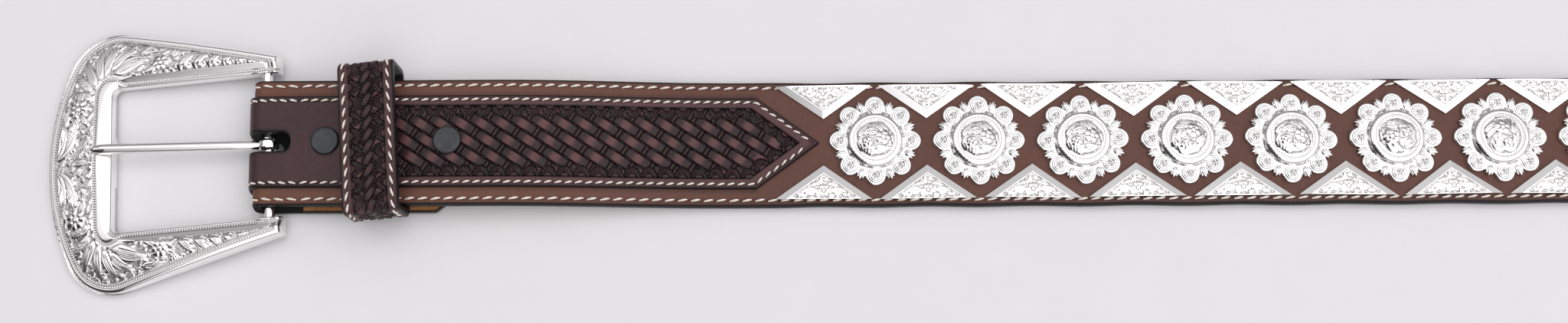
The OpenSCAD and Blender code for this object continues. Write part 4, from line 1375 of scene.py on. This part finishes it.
def buckle_frame():
    inner, outer = buckle_edges(720)
    edges = [0.0, 0.006, 0.018, 0.036], [0.962, 0.978, 0.991, 1.0]
    share = np.concatenate([edges[0], np.linspace(0.055, 0.945, 72), edges[1]])
    x, y = (inner[:, k : k + 1] + (outer - inner)[:, k : k + 1] * share for k in (0, 1))
    window, outline = from_window(x, y), np.maximum(from_outline(x, y), 0)
    on_arm = smooth_step(x, WINDOW_X - 3, WINDOW_X + 5)
    rope = 4.7 * (1 - on_arm) + 1.15 * on_arm
    band = rope + 0.65 + 1.5 * on_arm
    h, dark = buckle_engraving().at(x, y)
    field = smooth_step(window, band, band + 0.35) * smooth_step(outline, 2.75, 3.1)
    # The arms are thick enough at their ends to cover the bar.
    z = buckle_face(x, y)
    z = z + np.maximum(1.95 - z, 0) * smooth_step(x, -4.5, -2.2)
    # Channels for the rope borders, and the rolled rim.
    ropes = bell(window - rope, 0.5) + bell(outline - RIM_ROPE, 0.55) + bell(outline - 2.9, 0.3)
    ropes = np.clip(ropes, 0, 1)
    tone = np.maximum(dark * field, 0.9 * ropes)
    z = z + h * field - 0.22 * ropes - edge_drop(outline, RIM_R) * 1.15
    z = z - edge_drop(np.maximum(window, 0), 0.5) * 0.9
    # The hollow in which the tongue rests.
    off = x * math.sin(TONGUE_SKEW) + y * math.cos(TONGUE_SKEW)
    along = -x * math.cos(TONGUE_SKEW) + y * math.sin(TONGUE_SKEW)
    under = TONGUE_LIFT + along * math.tan(TONGUE_PITCH) - np.sqrt(np.maximum(HOLLOW_R**2 - off**2, 0))
    in_groove = (np.abs(off) < HOLLOW_R) & (along < HOLLOW_END) & (along > 0)
    z = np.maximum(np.where(in_groove, np.minimum(z, under), z), BACK_Z + 0.6)
    low = [(outer, -1.6), (outer, BACK_Z + 0.5), (outer + (inner - outer) * 0.03, BACK_Z)]
    low += [(inner + (outer - inner) * 0.03, BACK_Z), (inner, BACK_Z + 0.4), (inner, -1.0)]
    back = np.stack([np.insert(line, 2, height, axis=1) for line, height in low], 1)
    tone = np.pad(np.where(in_groove, 0.15, tone), ((0, 0), (0, len(low))), constant_values=0.08)
    shape = loft(Shape(), np.concatenate([np.stack([x, y, z], -1), back], 1), dye=tone)

    def on_face(line, lift=0.0):
        return np.column_stack([line, buckle_face(*np.transpose(line)) + lift])

    def rope_line(gap):
        """The line on the face along which the gap is zero."""
        return on_face([a + (b - a) * np.interp(0, row, share) for a, b, row in zip(inner, outer, gap)])

    keep = inner[:, 0] < TIP_REACH - 2.2
    line = rope_line(window - rope)
    beside_tongue = (np.abs(line[:, 1] - 3.1) > 2.1) | (line[:, 0] > -40)
    for lean, half in ((0.9, inner[:, 1] > 0), (-0.9, inner[:, 1] <= 0)):
        beads(shape, line[keep & half & beside_tongue], 0.78, (0.5, 0.25, 0.32), lean)
    beads(shape, rope_line(RIM_ROPE - outline)[keep], 0.8, (0.48, 0.27, 0.36), 0.8)
    line = rope_line(SECOND_ROPE - outline)[keep & (outer[:, 1] < -26)]
    beads(shape, line, 0.74, (0.42, 0.22, 0.32), -0.8)
    # Beaded lines that part the end's leaves from the corners'.
    t = np.linspace(0, 1, 40)[:, None]
    for way in (1, -1):
        a, bow, b = (np.array([px, way * py]) for px, py in ((-64.8, 0.6), (-49.6, 2.4), (-51.6, 20.0)))
        curve = (1 - t) ** 2 * a + 2 * t * (1 - t) * bow + t**2 * b
        curve = curve[from_window(*curve.T) > 5.1]
        curve = curve[(np.abs(curve[:, 1] - 3.2) > 2.0) | (way < 0)]
        beads(shape, on_face(curve, 0.02), 0.6, (0.34, 0.24, 0.3))
    shape.move(at_bar)
    make_piece("buckle_frame", shape, [SILVER], "buckle", "silver", ["buckle_frame"], sharp=55)


def tongue():
    """The shank's root is flattened into the eye that turns on the bar."""
    reach, radius = 52.0, 1.58
    parts = np.linspace(1.9, 8, 16)[:-1], np.linspace(8, 47, 40)[:-1], np.linspace(47, reach, 14)
    s, angle = np.concatenate(parts)[:, None], turns(28)
    root, end = smooth_step(s, 3, 10), smooth_step(s, reach - 0.7, reach)
    wide = radius * (0.88 + 0.12 * root) * (1 - 0.2 * smooth_step(s, 49.5, 51)) * (1 - 0.35 * end)
    tall = radius * (0.86 + 0.14 * root) * (1 - 0.42 * smooth_step(s, reach - 4.2, reach)) * (1 - 0.3 * end)
    x, y, z = -s + 0 * angle, wide * np.cos(angle), tall * np.sin(angle) - 0.25 * (radius - tall)
    c, d = math.cos(TONGUE_PITCH), math.sin(TONGUE_PITCH)
    shape = loft(Shape(), turn_z(np.stack([x * c + z * d, y, z * c - x * d + TONGUE_LIFT], -1), -TONGUE_SKEW))
    bore, rim, half = 1.58, 2.88, 1.6
    profile = [(bore, -half + 0.3), (bore, half - 0.3), (bore + 0.3, half), (rim - 0.5, half)]
    profile += [(rim - 0.12, half - 0.3), (rim, half - 0.8), (rim, -half + 0.8), (rim - 0.12, -half + 0.3)]
    profile += [(rim - 0.5, -half), (bore + 0.3, -half)]
    (r, width), turn = np.array(profile).T, turns(56)[:, None]
    loft(shape, np.stack([r * np.cos(turn), width + 0 * turn, r * np.sin(turn)], -1), wrap=True)
    shape.move(at_bar)
    make_piece("tongue", shape, [POLISHED], "tongue", "silver", ["tongue"], sharp=45)


def hardware():
    """Parts that the CAD already shows in full take their finish."""
    steel = ["concho_screws", "keeper_staple"]
    steel += [f"snap_{part}_{i}" for part in ("socket", "stud", "eyelet") for i in (1, 2)]
    for name in [*steel, "buckle_bar"]:
        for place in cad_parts[name].material_slots:
            place.material = STEEL if name in steel else POLISHED


outer_strap()
lining_strap()
buckle_end_overlay()
tip_end_overlay()
fold_leather()
flap()
stitching()
snap_caps()
conchos()
plates()
keeper()
buckle_frame()
tongue()
hardware()


# ---- Floor, light and camera ----


def floor():
    mesh = bpy.data.meshes.new("floor")
    corners = [(-30.0, -30.0, 0), (30.0, -30.0, 0), (30.0, 30.0, 0), (-30.0, 30.0, 0)]
    mesh.from_pydata(corners, [], [(0, 1, 2, 3)])
    mesh.materials.append(paper("pale_paper"))
    thing = new_object("floor", mesh)
    thing.location.z = -0.0003


def sky():
    """A bright tent overhead for the silver to mirror: darker towards the horizon and on the left,
    with a dark patch at the front left where no light stands."""
    world = bpy.context.scene.world = bpy.data.worlds.new("studio")
    n = Nodes(world, Color=(1.0, 0.985, 1.0))
    direction = n.node("SeparateXYZ", Vector=n.place["Generated"]).outputs

    def shade(axis, *stops):
        """Brightness along one axis of the direction, from (value, grey) pairs."""
        half = n.node("MapRange", Value=direction[axis], From_Min=-1).outputs["Result"]
        return n.ramp(half, *[((at + 1) / 2, grey) for at, grey in stops], blend="EASE")

    height = shade("Z", (0.0, 0.7), (0.1, 0.16), (0.24, 0.26), (0.42, 0.66), (0.7, 0.92), (0.97, 1.0))
    across = shade("X", (-0.9, 0.5), (-0.6, 0.9), (0.1, 1.0))
    patch = n.times(shade("X", (-0.44, 1.0), (-0.2, 0.0)), shade("Y", (-0.16, 1.0), (-0.02, 0.0)))
    open_sky = n.maths("SUBTRACT", 1.0, n.times(patch, 0.93))
    behind = shade("Y", (0.3, 1.0), (0.7, 0.45))
    n.link(n.times(n.times(n.times(height, across), n.times(open_sky, behind)), 1.46), "Strength")


def area_light(name, place, aim, size, power):
    lamp = bpy.data.lights.new(name, "AREA")
    lamp.shape, lamp.size, lamp.size_y, lamp.energy = "RECTANGLE", *size, power
    thing = new_object(name, lamp)
    thing.location = place
    thing.rotation_euler = (Vector(aim) - Vector(place)).to_track_quat("-Z", "Y").to_euler()


def camera():
    target, distance = Vector((-0.29303, -0.00123, 0.0032)), 0.4477
    azimuth, elevation, roll = math.radians(-2.95), math.radians(76.2), math.radians(-3.22)
    level, height = math.cos(elevation), math.sin(elevation)
    back = Vector((-math.sin(azimuth) * level, -math.cos(azimuth) * level, height))
    right = (-back).cross(Vector((0, 0, 1))).normalized()
    up = right.cross(-back)
    r = right * math.cos(roll) + up * math.sin(roll)
    u = up * math.cos(roll) - right * math.sin(roll)
    data = bpy.data.cameras.new("camera")
    data.lens, data.sensor_width, data.clip_start = 34.66, 36, 0.01
    thing = new_object("camera", data)
    turned = Matrix((r, u, back)).transposed().to_4x4()
    thing.matrix_world = Matrix.Translation(target + back * distance) @ turned
    bpy.context.scene.camera = thing


floor()
sky()
area_light("overhead_panel", (0.0, 0.55, 1.2), (-0.2, 0, 0), (0.9, 0.5), 1.0)
area_light("right_panel", (0.75, -0.3, 0.9), (-0.25, 0, 0), (0.5, 0.5), 1.2)
camera()
bpy.context.scene.view_settings.view_transform = "Standard"
